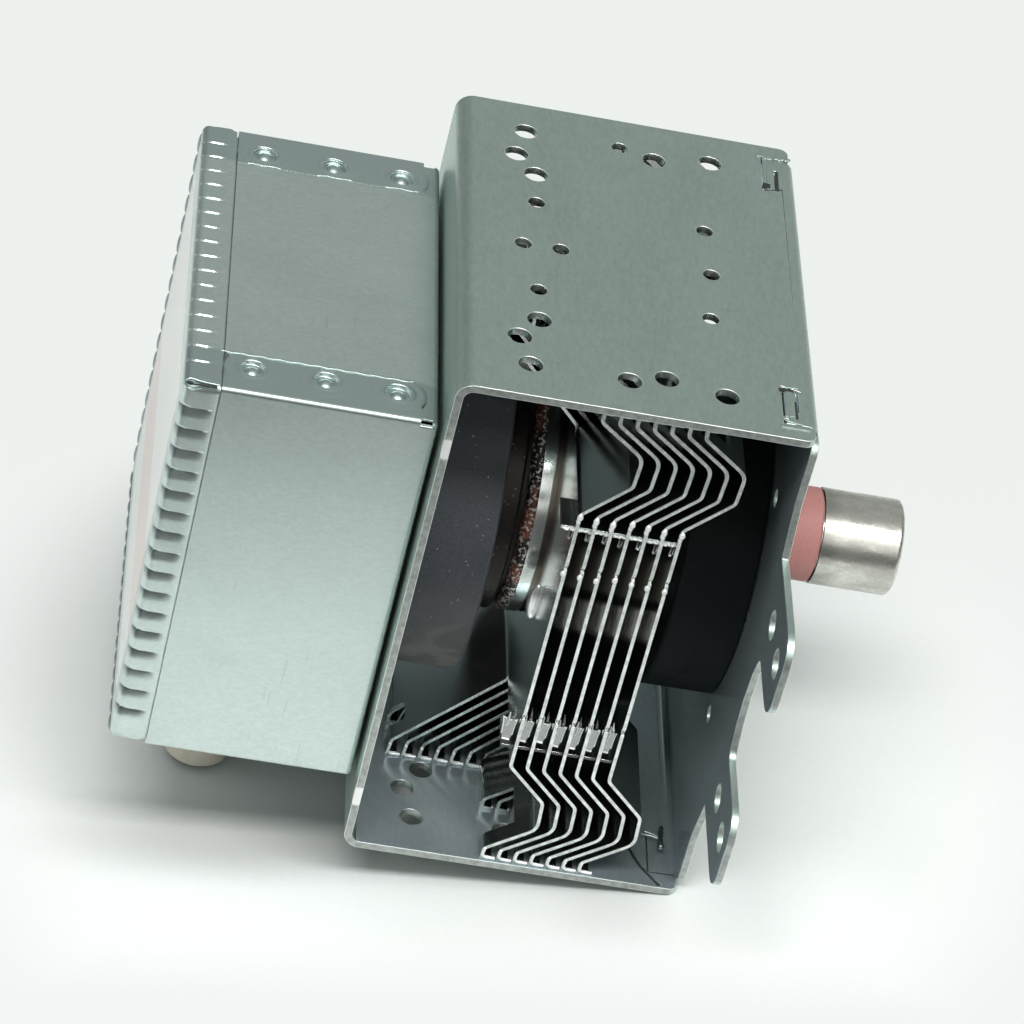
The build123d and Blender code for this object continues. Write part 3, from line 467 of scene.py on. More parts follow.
def build_materials(finish):
    for build_group in (sheet_grain_group, stain_group, scratch_group, edge_wear_and_painted_light_group, shear_group,
                        fin_painted_reflection_group):
        build_group()
    grain, wear_and_highlight, cut = finish.grain, finish.wear_and_highlight, finish.cut_edge
    return {
        # Zinc faces inside the yoke take a darker, bluer, less metallic copy: painted shade and painted
        # reflection.
        "zinc": sheet_metal(
            "Zinc plated sheet", finish.zinc, cut, 0.40, 1700.0, 0.5 * grain, wear_and_highlight, (1.0, 0.35, 1.0), 0.45,
            0.15, spots=PAINTED_HIGHLIGHT_SPOTS, painted_shade=(0.37, 0.44, 0.465), polish=0.18, matt=0.38),
        # The lid's crimp dents take a dark bluish copy: painted shade.
        "tin": sheet_metal(
            "Tinned sheet", finish.tin, cut, 0.34, 1900.0, 0.5 * grain, wear_and_highlight, (0.6, 1.0, 1.0), 0.55, 0.35,
            (1.8, 0.12, 0.12), painted_shade=(0.19, 0.225, 0.25), band=TIN_FLANGES),
        # Fin faces that get little light take a near-black copy: painted shade.
        "aluminium": sheet_metal(
            "Fin aluminium", finish.fin_sheet, (0.76, 0.80, 0.78), 0.17, 2200.0, 0.2 * grain, 0.55 * wear_and_highlight,
            (1.0, 1.0, 0.3), 0.3, 0.1, painted_shade=(0.10, 0.105, 0.105), polish=-0.1, painted_reflection=True),
        "lug": sheet_metal("Dull aluminium", (0.36, 0.37, 0.37), (0.8, 0.8, 0.8), 0.24, 1500.0, 0.9 * grain,
                           0.5, scratches=0.0),
        # Folds round the lid painted dark bluish: painted shade.
        "shaded_fold": sheet_metal("Folded tin plate in painted shade", (0.32, 0.37, 0.385), cut, 0.30, 1500.0, 0.9 * grain, 0.5,
                            scratches=0.0),
        "nickel": sheet_metal("Nickel plate", finish.nickel, cut, 0.24, 1500.0, 0.4 * grain, wear_and_highlight,
                              (0.4, 1.0, 1.0)),
        "cup": sheet_metal("Tinned cup", (0.80, 0.83, 0.81), cut, 0.22, 1500.0, 0.4 * grain, wear_and_highlight),
        "copper": sheet_metal("Bare copper", finish.copper, finish.copper, 0.30, 1500.0, 0.4 * grain, wear_and_highlight),
        # Dulled copper, painted darker as shade.
        "anode": sheet_metal("Dulled copper painted darker as shade", finish.anode, finish.anode, 0.30, 1500.0, 0.4 * grain, wear_and_highlight),
        "mesh": sheet_metal("Knitted steel mesh", (0.45, 0.45, 0.43), cut, 0.38, 700.0, 0.9, 0.3,
                            stains=0.4, scratches=0.3),
        "collar": collar_finish(),
        "braze": braze_finish(),
        "cap": cap_finish(finish.nickel),
        "label": label_finish(finish),
        # Near-white aluminium for smears, burrs and feet: real metal, painted brighter as a highlight.
        "bead": solid_finish("Smeared aluminium painted as highlight", (0.93, 0.95, 0.94), 0.30, 0.45, 1900.0, 0.15, 0.00002),
        # A bright lump that stands in for a reflection.
        "reflection_lump": solid_finish("Lump painted as a reflection", (0.80, 0.81, 0.80), 0.22, 0.75, 900.0, 0.35, 0.00003),
        # Near black inside the sealing cups: painted shade.
        "cup_painted_shade": solid_finish("Cup in painted shade", (0.020, 0.018, 0.017), 0.5, 0.3, 900.0, 1.2, 0.00008,
                                 (0.20, 0.19, 0.18), 0.25),
        "gap": solid_finish("Shaded gap", (0.02, 0.022, 0.024), 0.6, 0.0, 900.0, 0.5, 0.00002),
        "ferrite": solid_finish("Sintered ferrite", finish.ferrite, 0.6, 0.0, 2600.0, 0.9, 0.00004,
                                (0.11, 0.11, 0.11), 0.15, 0.08, (0.022, 0.027, 0.029)),
        # Paler copy of the ferrite, painted light on the filter end magnet.
        "lit_ferrite": solid_finish("Lit ferrite", finish.lit_ferrite, 0.6, 0.0, 2600.0, 1.3, 0.00006,
                                      (0.36, 0.34, 0.32), 0.42, 0.35, (0.165, 0.163, 0.150)),
        "soot": solid_finish("Browned ring", finish.soot, 0.42, 0.5, 1500.0, 1.0, 0.00004,
                             (0.20, 0.14, 0.11), 0.62),
        "ceramic": solid_finish("Pink alumina", finish.ceramic, 0.62, 0.0, 1900.0, 0.35, 0.00003,
                                (0.62, 0.30, 0.29), 0.35),
        "white_ceramic": solid_finish("White alumina", (0.72, 0.70, 0.66), 0.5, 0.0, 1900.0, 0.2, 0.00002),
        "moulding": solid_finish("Connector moulding", finish.moulding, 0.45, 0.0, 1200.0, 0.3, 0.00003),
        "potting": solid_finish("Potting resin", (0.06, 0.035, 0.022), 0.3, 0.0, 500.0, 0.4, 0.00005),
        "tungsten": solid_finish("Drawn tungsten", (0.22, 0.22, 0.23), 0.38, 1.0, 1500.0, 0.5, 0.00002),
        "enamel": solid_finish("Enamelled wire", (0.46, 0.15, 0.06), 0.25, 0.3, 900.0, 0.3, 0.00002)}


# Pieces

MATERIALS = {}
WELD_GAP = 2e-6
FLAT_WITHIN = math.radians(0.6)
SHARP_FROM = math.radians(38.0)
ROUNDING_ROOM = 2.3
CUT_FACING = 0.93
CUT_BREADTH = 1.56 * MM


def add_object(name, data):
    made = bpy.data.objects.new(name, data)
    bpy.context.scene.collection.objects.link(made)
    return made


def add_mesh(name, work):
    """An object from a work mesh, which is freed."""
    mesh = bpy.data.meshes.new(name)
    work.to_mesh(mesh)
    work.free()
    return add_object(name, mesh)


def new_piece(name, work, look, smooth=40.0, settle_normals=True):
    """A piece from a work mesh, riding on the one body, in the finish of the given name."""
    if settle_normals:
        bmesh.ops.recalc_face_normals(work, faces=work.faces)
    piece = add_mesh(name, work)
    for polygon in piece.data.polygons:
        polygon.use_smooth = True
    piece.data.set_sharp_from_angle(angle=math.radians(smooth))
    piece.data.materials.append(MATERIALS[look])
    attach(piece, "root")
    return piece


def mark_sheet(mesh, bevel_faces, sheared, painted_shade):
    """Stores edge wear and painted highlight in red, cut faces in green and faces for painted shade in blue,
    one colour per corner.
    """
    marks = mesh.color_attributes.new(name="sheet_marks", type="FLOAT_COLOR", domain="CORNER")
    for polygon in mesh.polygons:
        worn_and_highlit = 1.0 if polygon.index in bevel_faces else 0.0
        cut = 0.0
        if sheared and not worn_and_highlit and abs(polygon.normal.y) > CUT_FACING:
            corners = [mesh.vertices[index].co for index in polygon.vertices]
            around = sum((corners[at] - corners[at - 1]).length for at in range(len(corners)))
            cut = 1.0 if 2.0 * polygon.area / around < CUT_BREADTH else 0.0
        shaded = 1.0 if painted_shade and painted_shade(polygon.center / MM, polygon.normal) else 0.0
        for corner in polygon.loop_indices:
            marks.data[corner].color = (worn_and_highlit * (1.0 - shaded), cut * (1.0 - shaded), shaded, 1.0)


def roomy_edges(work, rounding):
    """Sharp edges with enough face on both sides to be rounded."""
    sharp = {edge for edge in work.edges
             if len(edge.link_faces) == 2 and edge.calc_face_angle(0.0) > SHARP_FROM}
    crowded = set()
    for face in work.faces:
        near = [edge for edge in face.edges if edge in sharp]
        middles = [(edge.verts[0].co + edge.verts[1].co) / 2.0 for edge in near]
        lines = [(edge.verts[0].co, edge.verts[1].co - edge.verts[0].co) for edge in near]
        for first, middle in enumerate(middles):
            for second, (start, run) in enumerate(lines):
                if second == first or set(near[first].verts) & set(near[second].verts):
                    continue
                part = max(0.0, min(1.0, (middle - start).dot(run) / max(run.length_squared, 1e-15)))
                if (start + run * part - middle).length < ROUNDING_ROOM * rounding:
                    crowded.update((near[first], near[second]))
    return [edge for edge in sharp if edge not in crowded]


def dress(node_name, look, rounding=0.0, sheared=False, painted_shade=None, others=(), lift=None):
    """A detailed copy of a CAD node: welded, its edges rounded and marked, standing for the node."""
    work = bmesh.new()
    work.from_mesh(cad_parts[node_name].data)
    bmesh.ops.remove_doubles(work, verts=work.verts, dist=WELD_GAP)
    bmesh.ops.dissolve_limit(work, angle_limit=FLAT_WITHIN, verts=work.verts, edges=work.edges)
    for vertex in work.verts if lift else ():
        vertex.co.z += lift(vertex.co / MM) * MM
    worn_and_highlit = set()
    if rounding > 0.0:
        made = bmesh.ops.bevel(work, geom=roomy_edges(work, rounding), offset=rounding, offset_type="OFFSET",
                               segments=2, profile=0.55, affect="EDGES", clamp_overlap=False)
        work.faces.index_update()
        worn_and_highlit = {face.index for face in made["faces"] if face.is_valid}
    piece = new_piece(node_name + "_finish", work, look, settle_normals=False)
    mark_sheet(piece.data, worn_and_highlit, sheared, painted_shade)
    for number, (other, test) in enumerate(others, 1):
        piece.data.materials.append(MATERIALS[other])
        for polygon in piece.data.polygons:
            if test(polygon.center / MM, polygon.normal):
                polygon.material_index = number
    # Broad faces stay flat, so that only the rounded edges turn the light.
    level = piece.modifiers.new("level_normals", "WEIGHTED_NORMAL")
    level.mode = "FACE_AREA"
    level.weight = 100
    level.keep_sharp = True
    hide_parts(node_name)


def dress_plainly(*rows):
    """Dresses nodes from rows of finish, slot, rounding in millimetres and node names."""
    for look, slot, rounding, names in rows:
        for name in names:
            dress(name, look, rounding * MM)


def join_rings(work, rings):
    """Quads between neighbouring rings of equally many points."""
    for low, high in zip(rings, rings[1:]):
        for at in range(len(low)):
            work.faces.new((low[at - 1], low[at], high[at], high[at - 1]))


def add_lump(work, centre, radii, seed, unevenness=0.12, finer=2):
    """A small uneven ellipsoid, sizes in millimetres."""
    chance = random.Random(seed)
    made = bmesh.ops.create_icosphere(work, subdivisions=finer, radius=1.0)
    for vertex in made["verts"]:
        swell = 1.0 + unevenness * chance.uniform(-1.0, 1.0)
        vertex.co = Vector([(mid + reach * part * swell) * MM
                            for mid, reach, part in zip(centre, radii, vertex.co)])


def add_block(work, corners, thick):
    """A flat plate from its outline points and a thickness vector, in millimetres."""
    near = [work.verts.new(Vector(corner) * MM) for corner in corners]
    far = [work.verts.new((Vector(corner) + Vector(thick)) * MM) for corner in corners]
    work.faces.new(near)
    work.faces.new(far[::-1])
    join_rings(work, (near, far))


def add_wire(work, path, radius, sides=6):
    """A round wire along a path of points in millimetres."""
    rings = []
    for at, point in enumerate(path):
        before, after = Vector(path[max(0, at - 1)]), Vector(path[min(len(path) - 1, at + 1)])
        run = (after - before).normalized()
        first = run.orthogonal().normalized()
        second = run.cross(first)
        if at and (rings[-1][0].co / MM - Vector(path[at - 1])).dot(first) < 0.0:
            first, second = -first, -second
        rings.append([work.verts.new((Vector(point) + radius * (
            first * math.cos(math.tau * step / sides) + second * math.sin(math.tau * step / sides))) * MM)
            for step in range(sides)])
    join_rings(work, rings)
    work.faces.new(rings[0])
    work.faces.new(rings[-1])


# Filter lid and box

RIM_RADIUS = 1.6 * MM
RIM_STEP = 0.2 * MM
CORNER_STEPS = 20
SEAM_RUN = 2.5 * MM
CRIMPS = 16
CRIMP_PITCH = 4.0
MIDDLE_CRIMP = 0.5 * (CRIMPS - 1)
CRIMP_SHIFTS = (0.1, 0.9, 0.5, 0.5)
CRIMP_SPAN = 5.2 * MM
CRIMP_FADE = 2.2 * MM
CRIMP_ROOT = 1.9 * MM
CRIMP_SLOPE = 1.7 * MM
# Unevenness, share of the full depth, the short flank's breadth and what is added to it near the face.
TOP_CRIMPS = (0.07, 0.37, 0.16, 0.50)
OTHER_CRIMPS = (0.18, 1.0, 0.13, 0.75)
CLINCH_XS = (-85.3, -74.0, -62.9)
CLINCH_Y = 29.4
FLANGE_Y = 26.1
FLANGE_SPANS = ((-1, ((-93.4, -60.6),)), (1, ((-88.0, -82.6), (-76.8, -71.2), (-65.6, -60.2))))
CLINCH_PROFILE = (
    (4.5, -0.04), (4.2, 0.03), (3.6, 0.045), (3.1, 0.03), (2.75, 0.05), (2.5, 0.14), (2.3, 0.17),
    (2.15, 0.08), (2.05, -0.15), (1.95, -0.50), (1.75, -0.62), (1.35, -0.60), (1.1, -0.46), (0.85, -0.27),
    (0.6, -0.12), (0.3, -0.04), (0.1, -0.03))
LIP = ((-94.9, -35.5, 34.6), (-95.35, -35.6, 35.3), (-95.25, -35.5, 35.9), (-94.7, -35.3, 36.15),
       (-93.9, -35.3, 36.1), (-93.2, -35.35, 35.95), (-91.8, -35.4, 35.85), (-90.2, -35.4, 35.8))


def lid_outline(inset):
    """Points of the lid's square outline at an inset, each with its outward direction, its side, the run
    along that side and the run round the corner."""
    half = LID_HIGH[1] - inset
    radius = max(RIM_RADIUS - inset, 0.05 * MM)
    straight = LID_HIGH[1] - RIM_RADIUS
    count = int(round(2 * straight / RIM_STEP))
    local = [(straight - 2 * straight * at / count, half, 0.0, 1.0, None) for at in range(count + 1)]
    for at in range(1, CORNER_STEPS):
        angle = math.radians(90.0 * at / CORNER_STEPS)
        local.append((-straight - radius * math.sin(angle), straight + radius * math.cos(angle),
                      -math.sin(angle), math.cos(angle), (at / CORNER_STEPS - 0.5) * SEAM_RUN))
    points = []
    for side in range(4):
        turn = math.radians(90.0 * side)
        cos, sin = math.cos(turn), math.sin(turn)
        points += [(y * cos - z * sin, y * sin + z * cos, ny * cos - nz * sin, ny * sin + nz * cos,
                    side, y, corner) for y, z, ny, nz, corner in local]
    return points


def crimp_dent(side, run, down):
    """How far the rim is pressed in, from the run along its side and the distance from the face."""
    if down >= CRIMP_SPAN:
        return 0.0
    unevenness, share_of_depth, flank, added = TOP_CRIMPS if side == 0 else OTHER_CRIMPS
    rest = min(1.0, (CRIMP_SPAN - down) / CRIMP_FADE) ** 0.7
    near = max(0.0, 1.0 - down / CRIMP_ROOT)
    run -= CRIMP_SHIFTS[side] * MM
    slot = max(0, min(CRIMPS - 1, round(run / (CRIMP_PITCH * MM) + MIDDLE_CRIMP + 0.12)))
    away = run - (slot - MIDDLE_CRIMP) * CRIMP_PITCH * MM
    vary = 1.0 + unevenness * math.sin(4.7 * slot + 1.9 * side)
    depth = (0.44 + 0.12 * near) * MM * rest * vary * share_of_depth
    if away >= 0.0:
        return depth * max(0.0, 1.0 - away / ((flank + added * near ** 1.4) * MM))
    fall = max(0.0, 1.0 + away / CRIMP_SLOPE)
    return depth * (0.75 * fall ** 2 + 0.25 * fall)


def seam_dent(run, down):
    """The open seam at a rim corner: a slit with a wider eye and a raised lip."""
    eye = math.exp(-((down - 1.5 * MM) / (0.9 * MM)) ** 2)
    width = 0.20 * MM + 0.36 * MM * eye
    slit = 0.95 * MM * math.exp(-(run / width) ** 4) * (1.0 if down > 0.4 * MM else 0.3)
    lip = 0.16 * MM * math.exp(-((abs(run) - width - 0.20 * MM) / (0.15 * MM)) ** 2)
    return slit - lip


def build_lid():
    """The lid with its rim pressed into uneven crimps, standing for the plain CAD lid; the dents on three
    sides are darkened as painted shade.
    """
    face_x, end_x = LID_LOW[0], LID_HIGH[0]
    bend = 1.2 * MM
    profile = [(0.6 * MM, face_x + 0.7 * MM)]
    profile += [(inset * MM, end_x - back * MM) for inset, back in (
        (0.6, 0.0), (0.17, 0.0), (0.13, 0.12), (0.07, 0.5), (0.02, 0.9))]
    profile += [(0.0, face_x + bend + (end_x - 1.3 * MM - face_x - bend) * (1.0 - at / 12.0))
                for at in range(13)]
    bend_level = len(profile)
    for at in range(1, 7):
        angle = math.radians(15.0 * at)
        profile.append((bend * (1.0 - math.cos(angle)), face_x + bend * (1.0 - math.sin(angle))))
    profile.append((1.7 * MM, face_x))
    work = bmesh.new()
    rings = []
    dent_shade = []
    for level, (inset, x) in enumerate(profile):
        rings.append([])
        for y, z, ny, nz, side, run, corner in lid_outline(inset):
            dent = 0.0
            if 5 <= level < len(profile) - 1:
                down = x - face_x
                dent = crimp_dent(side, run, down) if corner is None else seam_dent(corner, down)
                if level >= bend_level:
                    dent *= max(0.0, 1.0 - (inset / (1.5 * bend)) ** 2)
            rings[-1].append(work.verts.new((x, y - ny * dent, z - nz * dent)))
            # Deeper dents get more painted shade.
            dent_shade.append(0.0 if side == 0 or corner is not None else min(1.0, 1.7 * max(0.0, dent) / MM))
    join_rings(work, rings)
    work.faces.new(rings[-1])
    work.faces.new(rings[0])
    piece = new_piece("filter_lid_finish", work, "tin", 32.0)
    marks = piece.data.color_attributes.new(name="sheet_marks", type="FLOAT_COLOR", domain="POINT")
    for index, depth in enumerate(dent_shade):
        marks.data[index].color = (0.0, 0.0, depth, 1.0)
    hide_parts("filter_lid")


def build_clinches():
    """The six clinch joints on the box's flanges, each a faint ring, a steep crater and a bead in it,
    and the burrs along the flanges' inner edges."""
    work = bmesh.new()
    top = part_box("filter_box")[1][2]
    turns = [math.radians(7.5 * at) for at in range(48)]
    for x in CLINCH_XS:
        for side in (1, -1):
            rings = [[work.verts.new((x * MM + radius * MM * math.cos(turn),
                                      side * CLINCH_Y * MM + 0.95 * radius * MM * math.sin(turn),
                                      top + height * MM)) for turn in turns]
                     for radius, height in CLINCH_PROFILE]
            join_rings(work, rings)
            work.faces.new(rings[-1])
    for side, spans in FLANGE_SPANS:
        for low, high in spans:
            count = max(4, int((high - low) / 0.8))
            path = [(low + (high - low) * at / count, side * FLANGE_Y + 0.12 * math.sin(1.7 * at + low),
                     top / MM + 0.05 * math.sin(math.pi * at / count)) for at in range(count + 1)]
            add_wire(work, path, 0.13)
    bmesh.ops.recalc_face_normals(work, faces=work.faces)
    for face in work.faces:
        if face.normal.z < 0.0 and len(face.verts) > 4:
            face.normal_flip()
    new_piece("clinch_joints", work, "tin", 75.0, settle_normals=False)


def build_rim_folds():
    """The crimps' folds, proud round the lid's face and darkened as painted shade, and the curled lip and a
    dark lump of painted shade in the eye at one upper corner.
    """
    work = bmesh.new()
    for index in range(CRIMPS + 1):
        run = -32.0 + CRIMP_PITCH * index
        add_lump(work, (-95.5, 34.85, run), (0.42, 0.62, 1.95), 300 + index, 0.02, 3)
        add_lump(work, (-95.5, run, -35.2), (0.42, 1.95, 0.62), 330 + index, 0.02, 3)
    new_piece("lid_rim_folds", work, "shaded_fold", 75.0)
    work = bmesh.new()
    add_wire(work, LIP, 0.20, 8)
    new_piece("lid_lip", work, "tin", 75.0)
    work = bmesh.new()
    # Painted shade: a dark lump and a dark line in the seam's eye.
    add_lump(work, (-94.6, -35.75, 35.62), (0.5, 0.22, 0.34), 360, 0.05, 3)
    add_wire(work, [(-94.2, -35.72, 35.5), (-92.6, -35.72, 35.5), (-90.4, -35.65, 35.42)], 0.13)
    new_piece("lid_eye_shade", work, "gap", 60.0)


def rounded_outline(half_width, half_height, radius, steps=6):
    """Corner points of a rounded rectangle, anticlockwise."""
    points = []
    for quarter, (side, end) in enumerate(((1, 1), (-1, 1), (-1, -1), (1, -1))):
        for step in range(steps + 1):
            angle = math.radians(90.0 * (quarter + step / steps))
            points.append((side * (half_width - radius) + radius * math.cos(angle),
                           end * (half_height - radius) + radius * math.sin(angle)))
    return points


def build_label():
    """A thin bare label stuck on the lid's outer face."""
    work = bmesh.new()
    outer = LID_LOW[0] - 0.08 * MM
    rings = [[work.verts.new((x, y, z)) for y, z in rounded_outline(
        31.0 * MM - inset, 30.0 * MM - inset, 2.5 * MM)]
        for x, inset in ((LID_LOW[0] + 0.02 * MM, 0.0), (outer + 0.03 * MM, 0.0), (outer, 0.05 * MM))]
    join_rings(work, rings)
    work.faces.new(rings[-1])
    new_piece("lid_label", work, "label")


# Fins and tube

FINS = 7
FIN_PITCH = 2.66
FIRST_FIN = -32.6
ROOT_SMEARS = ((-32.6, 25.3), (-30.0, 25.0), (-27.4, 24.8), (-24.5, 25.5), (-22.0, 25.3), (-19.4, 25.0),
               (-16.6, 24.9))
NOTCH_SMEARS = ((-32.9, 14.2), (-30.2, 13.9), (-27.6, 13.7), (-24.8, 14.4), (-22.1, 14.1), (-19.6, 13.9),
                (-16.8, 13.8))
FOOT_CURL = ((0.16, -43.2), (0.0, -44.3), (0.1, -44.8), (0.45, -45.08), (1.0, -45.13), (2.1, -45.13))
LOOSE_CURL = ((0.3, -43.4), (0.0, -44.5), (0.3, -45.05), (2.0, -45.13))


def build_fin_beads():
    """Smears at the fins' notches and roots, the rolled feet and the burr on the upper flap line, real metal
    painted near white as highlights.
    """
    work = bmesh.new()
    chance = random.Random(11)
    for index, (x, z) in enumerate(NOTCH_SMEARS):
        add_lump(work, (x + 0.03, -39.5, z), (0.46, 0.36, 0.56), index, 0.05)
    for index, (x, z) in enumerate(ROOT_SMEARS):
        add_lump(work, (x, -39.5, z), (0.48, 0.38, 0.66), 20 + index, 0.06)
        add_lump(work, (x - 0.12, -39.4, z - 0.85), (0.36, 0.32, 0.5), 40 + index, 0.06)
    for at in range(58):
        x = -34.5 + 17.9 * at / 57.0 + chance.uniform(-0.1, 0.1)
        add_lump(work, (x, -38.45 + chance.uniform(-0.1, 0.05), 22.05 + chance.uniform(-0.12, 0.14)),
                 (chance.uniform(0.15, 0.34), 0.2, chance.uniform(0.12, 0.26)), 100 + at, 0.2, 1)
    for index in range(FINS):
        for first, front in ((-33.2, -39.35), (-49.0, -17.3)):
            left = first + FIN_PITCH * index
            add_wire(work, [(left + out, front, z) for out, z in FOOT_CURL], 0.26, 8)
    for left in (-33.4, -30.7):
        add_wire(work, [(left + out, -27.0, z) for out, z in LOOSE_CURL], 0.24, 8)
    new_piece("fin_smears", work, "bead", 75.0)


def build_fin_lugs():
    """The small lugs that hang from the upper flap line, and the ragged plates of the lower flap row."""
    plates, wires = bmesh.new(), bmesh.new()
    chance = random.Random(5)
    for index in range(FINS):
        left = FIRST_FIN + FIN_PITCH * index - 0.92 + chance.uniform(-0.1, 0.1)
        foot = 20.35 + chance.uniform(-0.2, 0.2)
        add_wire(plates, [(left, -38.35, 22.0), (left + 0.05, -38.5, 21.2),
                          (left + 0.02, -38.45, foot)], 0.16)
        add_wire(plates, [(left + 0.55, -38.35, 22.0), (left + 0.5, -38.5, 21.3),
                          (left + 0.5, -38.4, foot + 0.2)], 0.13)
        add_lump(plates, (left + 0.28, -38.4, foot - 0.1), (0.36, 0.25, 0.26), 60 + index, 0.15)
    for index in range(FINS):
        left = -35.6 + FIN_PITCH * index + chance.uniform(-0.08, 0.08)
        top = -16.5 + 0.05 * index + chance.uniform(-0.2, 0.2)
        spike = left + 1.1 + chance.uniform(-0.25, 0.25)
        low = top - 4.2 + chance.uniform(-0.15, 0.15)
        cup = [(left, -38.1, top), (left + 0.2, -38.0, top - 1.4), (left + 0.3, -38.05, low + 0.8),
               (left + 0.5, -38.3, low), (left + 1.7, -38.35, low - 0.1), (left + 2.0, -38.1, low + 0.7),
               (left + 2.1, -38.0, top - 1.6), (left + 2.25, -38.1, top - 0.3)]
        add_block(plates, cup + [(spike + 0.2, -38.15, top - 0.4), (spike, -38.2, top + 1.0),
                                 (spike - 0.25, -38.15, top - 0.3)], (0.0, 0.3, 0.05))
        for part, radius in ((cup[:3], 0.11), (cup[3:5], 0.17), (cup[5:], 0.09)):
            add_wire(wires, [(x, y - 0.12, z) for x, y, z in part], radius)
        add_wire(wires, [(spike, -38.3, top + 1.0), (spike + 0.12, -38.35, top - 0.6),
                         (spike - 0.1, -38.4, top - 1.8)], 0.09)
        for part in range(3):
            x = left + 0.4 + 0.75 * part + chance.uniform(-0.2, 0.2)
            z = top - 0.35 + chance.uniform(-0.25, 0.2)
            add_lump(wires, (x, -38.3, z), (0.22, 0.15, 0.14), 70 + 3 * index + part, 0.3, 1)
    new_piece("fin_lugs", plates, "lug", 30.0)
    # The burrs take the near-white finish, a painted highlight.
    new_piece("fin_burrs", wires, "bead", 60.0)


def build_reflection_lump_and_braze():
    """A bright lump by the first fin's collar, painted in as the seal cup ring's reflection in the fin's
    face, and the speckled braze beside the seal cup's rim.
    """
    work = bmesh.new()
    add_lump(work, (-33.5, -26.0, -2.6), (1.25, 0.9, 3.5), 3, 0.0, 4)
    new_piece("collar_reflection_lump", work, "reflection_lump", 75.0)
    work = bmesh.new()
    chance = random.Random(21)
    turns = [math.radians(2.0 * at) for at in range(180)]
    rings = [[work.verts.new(Vector((
        x + chance.uniform(-0.1, 0.1), (radius + chance.uniform(-0.12, 0.12)) * math.cos(turn),
        (radius + chance.uniform(-0.12, 0.12)) * math.sin(turn))) * MM) for turn in turns]
        for x, radius in ((-37.4, 18.2), (-37.3, 19.3), (-36.7, 19.85), (-36.1, 20.05), (-35.6, 19.9),
                          (-35.5, 19.0))]
    join_rings(work, rings)
    new_piece("cup_braze", work, "braze", 60.0)


# Yoke

UPSET_Z = 46.72
# Dark plates and a line of painted shade in the tab slots and along the seam.
SLOT_SHADE_Z = 46.67
TAB_SLOT_SHADES = (
    (0.06, ((-3.7, 27.2), (-3.1, 27.2), (-3.0, 32.8), (-3.5, 32.9))),
    (0.18, ((-5.9, 27.4), (-4.6, 27.4), (-4.5, 28.7), (-5.7, 28.9))),
    (0.06, ((-3.9, -34.9), (-3.5, -34.9), (-3.6, -30.5), (-3.9, -30.4))),
    (0.18, ((-6.1, -28.2), (-3.9, -28.1), (-4.1, -27.6), (-6.2, -27.5))))
SEAM_EDGE = ((-9.1, -31.2), (-8.3, -32.1), (-7.5, -34.1), (-6.5, -36.1), (-5.0, -38.0))
SEAM_SHADE_LINE = ((-9.4, -30.6), (-8.6, -31.6), (-7.9, -33.6), (-6.9, -35.6), (-5.4, -37.6), (-3.9, -39.6))


def level_points(points, z):
    """Points of one height from their x and y."""
    return [(x, y, z) for x, y in points]


def build_stakes():
    """Upset metal at the staked tabs and the torn seam in the lower inner corner, with dark plates and a
    dark line of painted shade in the tab slots and along the seam.
    """
    work = bmesh.new()
    chance = random.Random(8)
    for at in range(26):
        along = at / 25.0
        add_lump(work, (-5.3 + 4.3 * along, 36.35 + 0.5 * along + chance.uniform(-0.12, 0.12), UPSET_Z),
                 (0.30, chance.uniform(0.25, 0.5), chance.uniform(0.10, 0.24)), 200 + at, 0.25, 2)
    for low, high, x in ((27.3, 33.6, -4.35), (-34.6, -28.1, -4.7)):
        add_block(work, level_points(((x - 0.75, low), (x + 0.55, low + 0.2), (x + 0.6, high),
                                      (x - 0.55, high - 0.1)), 46.66), (0.0, 0.0, 0.16))
    add_wire(work, [(-5.9, -27.3, UPSET_Z), (-4.4, -27.1, 46.78), (-3.2, -26.8, UPSET_Z)], 0.13)
    add_wire(work, [(-6.0, -34.6, UPSET_Z), (-5.6, -35.7, 46.76), (-4.4, -36.1, 46.76),
                    (-3.0, -36.3, UPSET_Z)], 0.14)
    for at in range(6):
        add_lump(work, (-5.3 + 0.25 * math.cos(1.05 * at), -34.8 + 0.3 * math.sin(1.05 * at), UPSET_Z),
                 (0.26, 0.24, 0.14), 240 + at, 0.2)
    add_wire(work, [(-6.6, -28.4, -44.6), (-5.2, -28.8, -44.3), (-3.8, -29.2, -44.3)], 0.13)
    add_wire(work, level_points(SEAM_EDGE, -45.3) + [(-3.4, -39.6, -45.2)], 0.16)
    new_piece("stake_upsets", work, "zinc", 60.0)
    work = bmesh.new()
    add_wire(work, [(-3.4, -26.6, -44.2), (-3.6, -29.2, -44.0), (-3.7, -31.8, -44.0)], 0.44, 10)
    add_lump(work, (-3.7, -31.6, -43.8), (0.58, 0.62, 0.5), 250, 0.05, 3)
    new_piece("corner_peg", work, "lug", 60.0)
    # Painted shade: dark plates in the tab slots and a dark line along the seam's gap.
    work = bmesh.new()
    for height, corners in TAB_SLOT_SHADES:
        add_block(work, level_points(corners, SLOT_SHADE_Z), (0.0, 0.0, height))
    add_wire(work, level_points(SEAM_SHADE_LINE, -45.38), 0.26)
    new_piece("stake_slot_shades", work, "gap", 60.0)


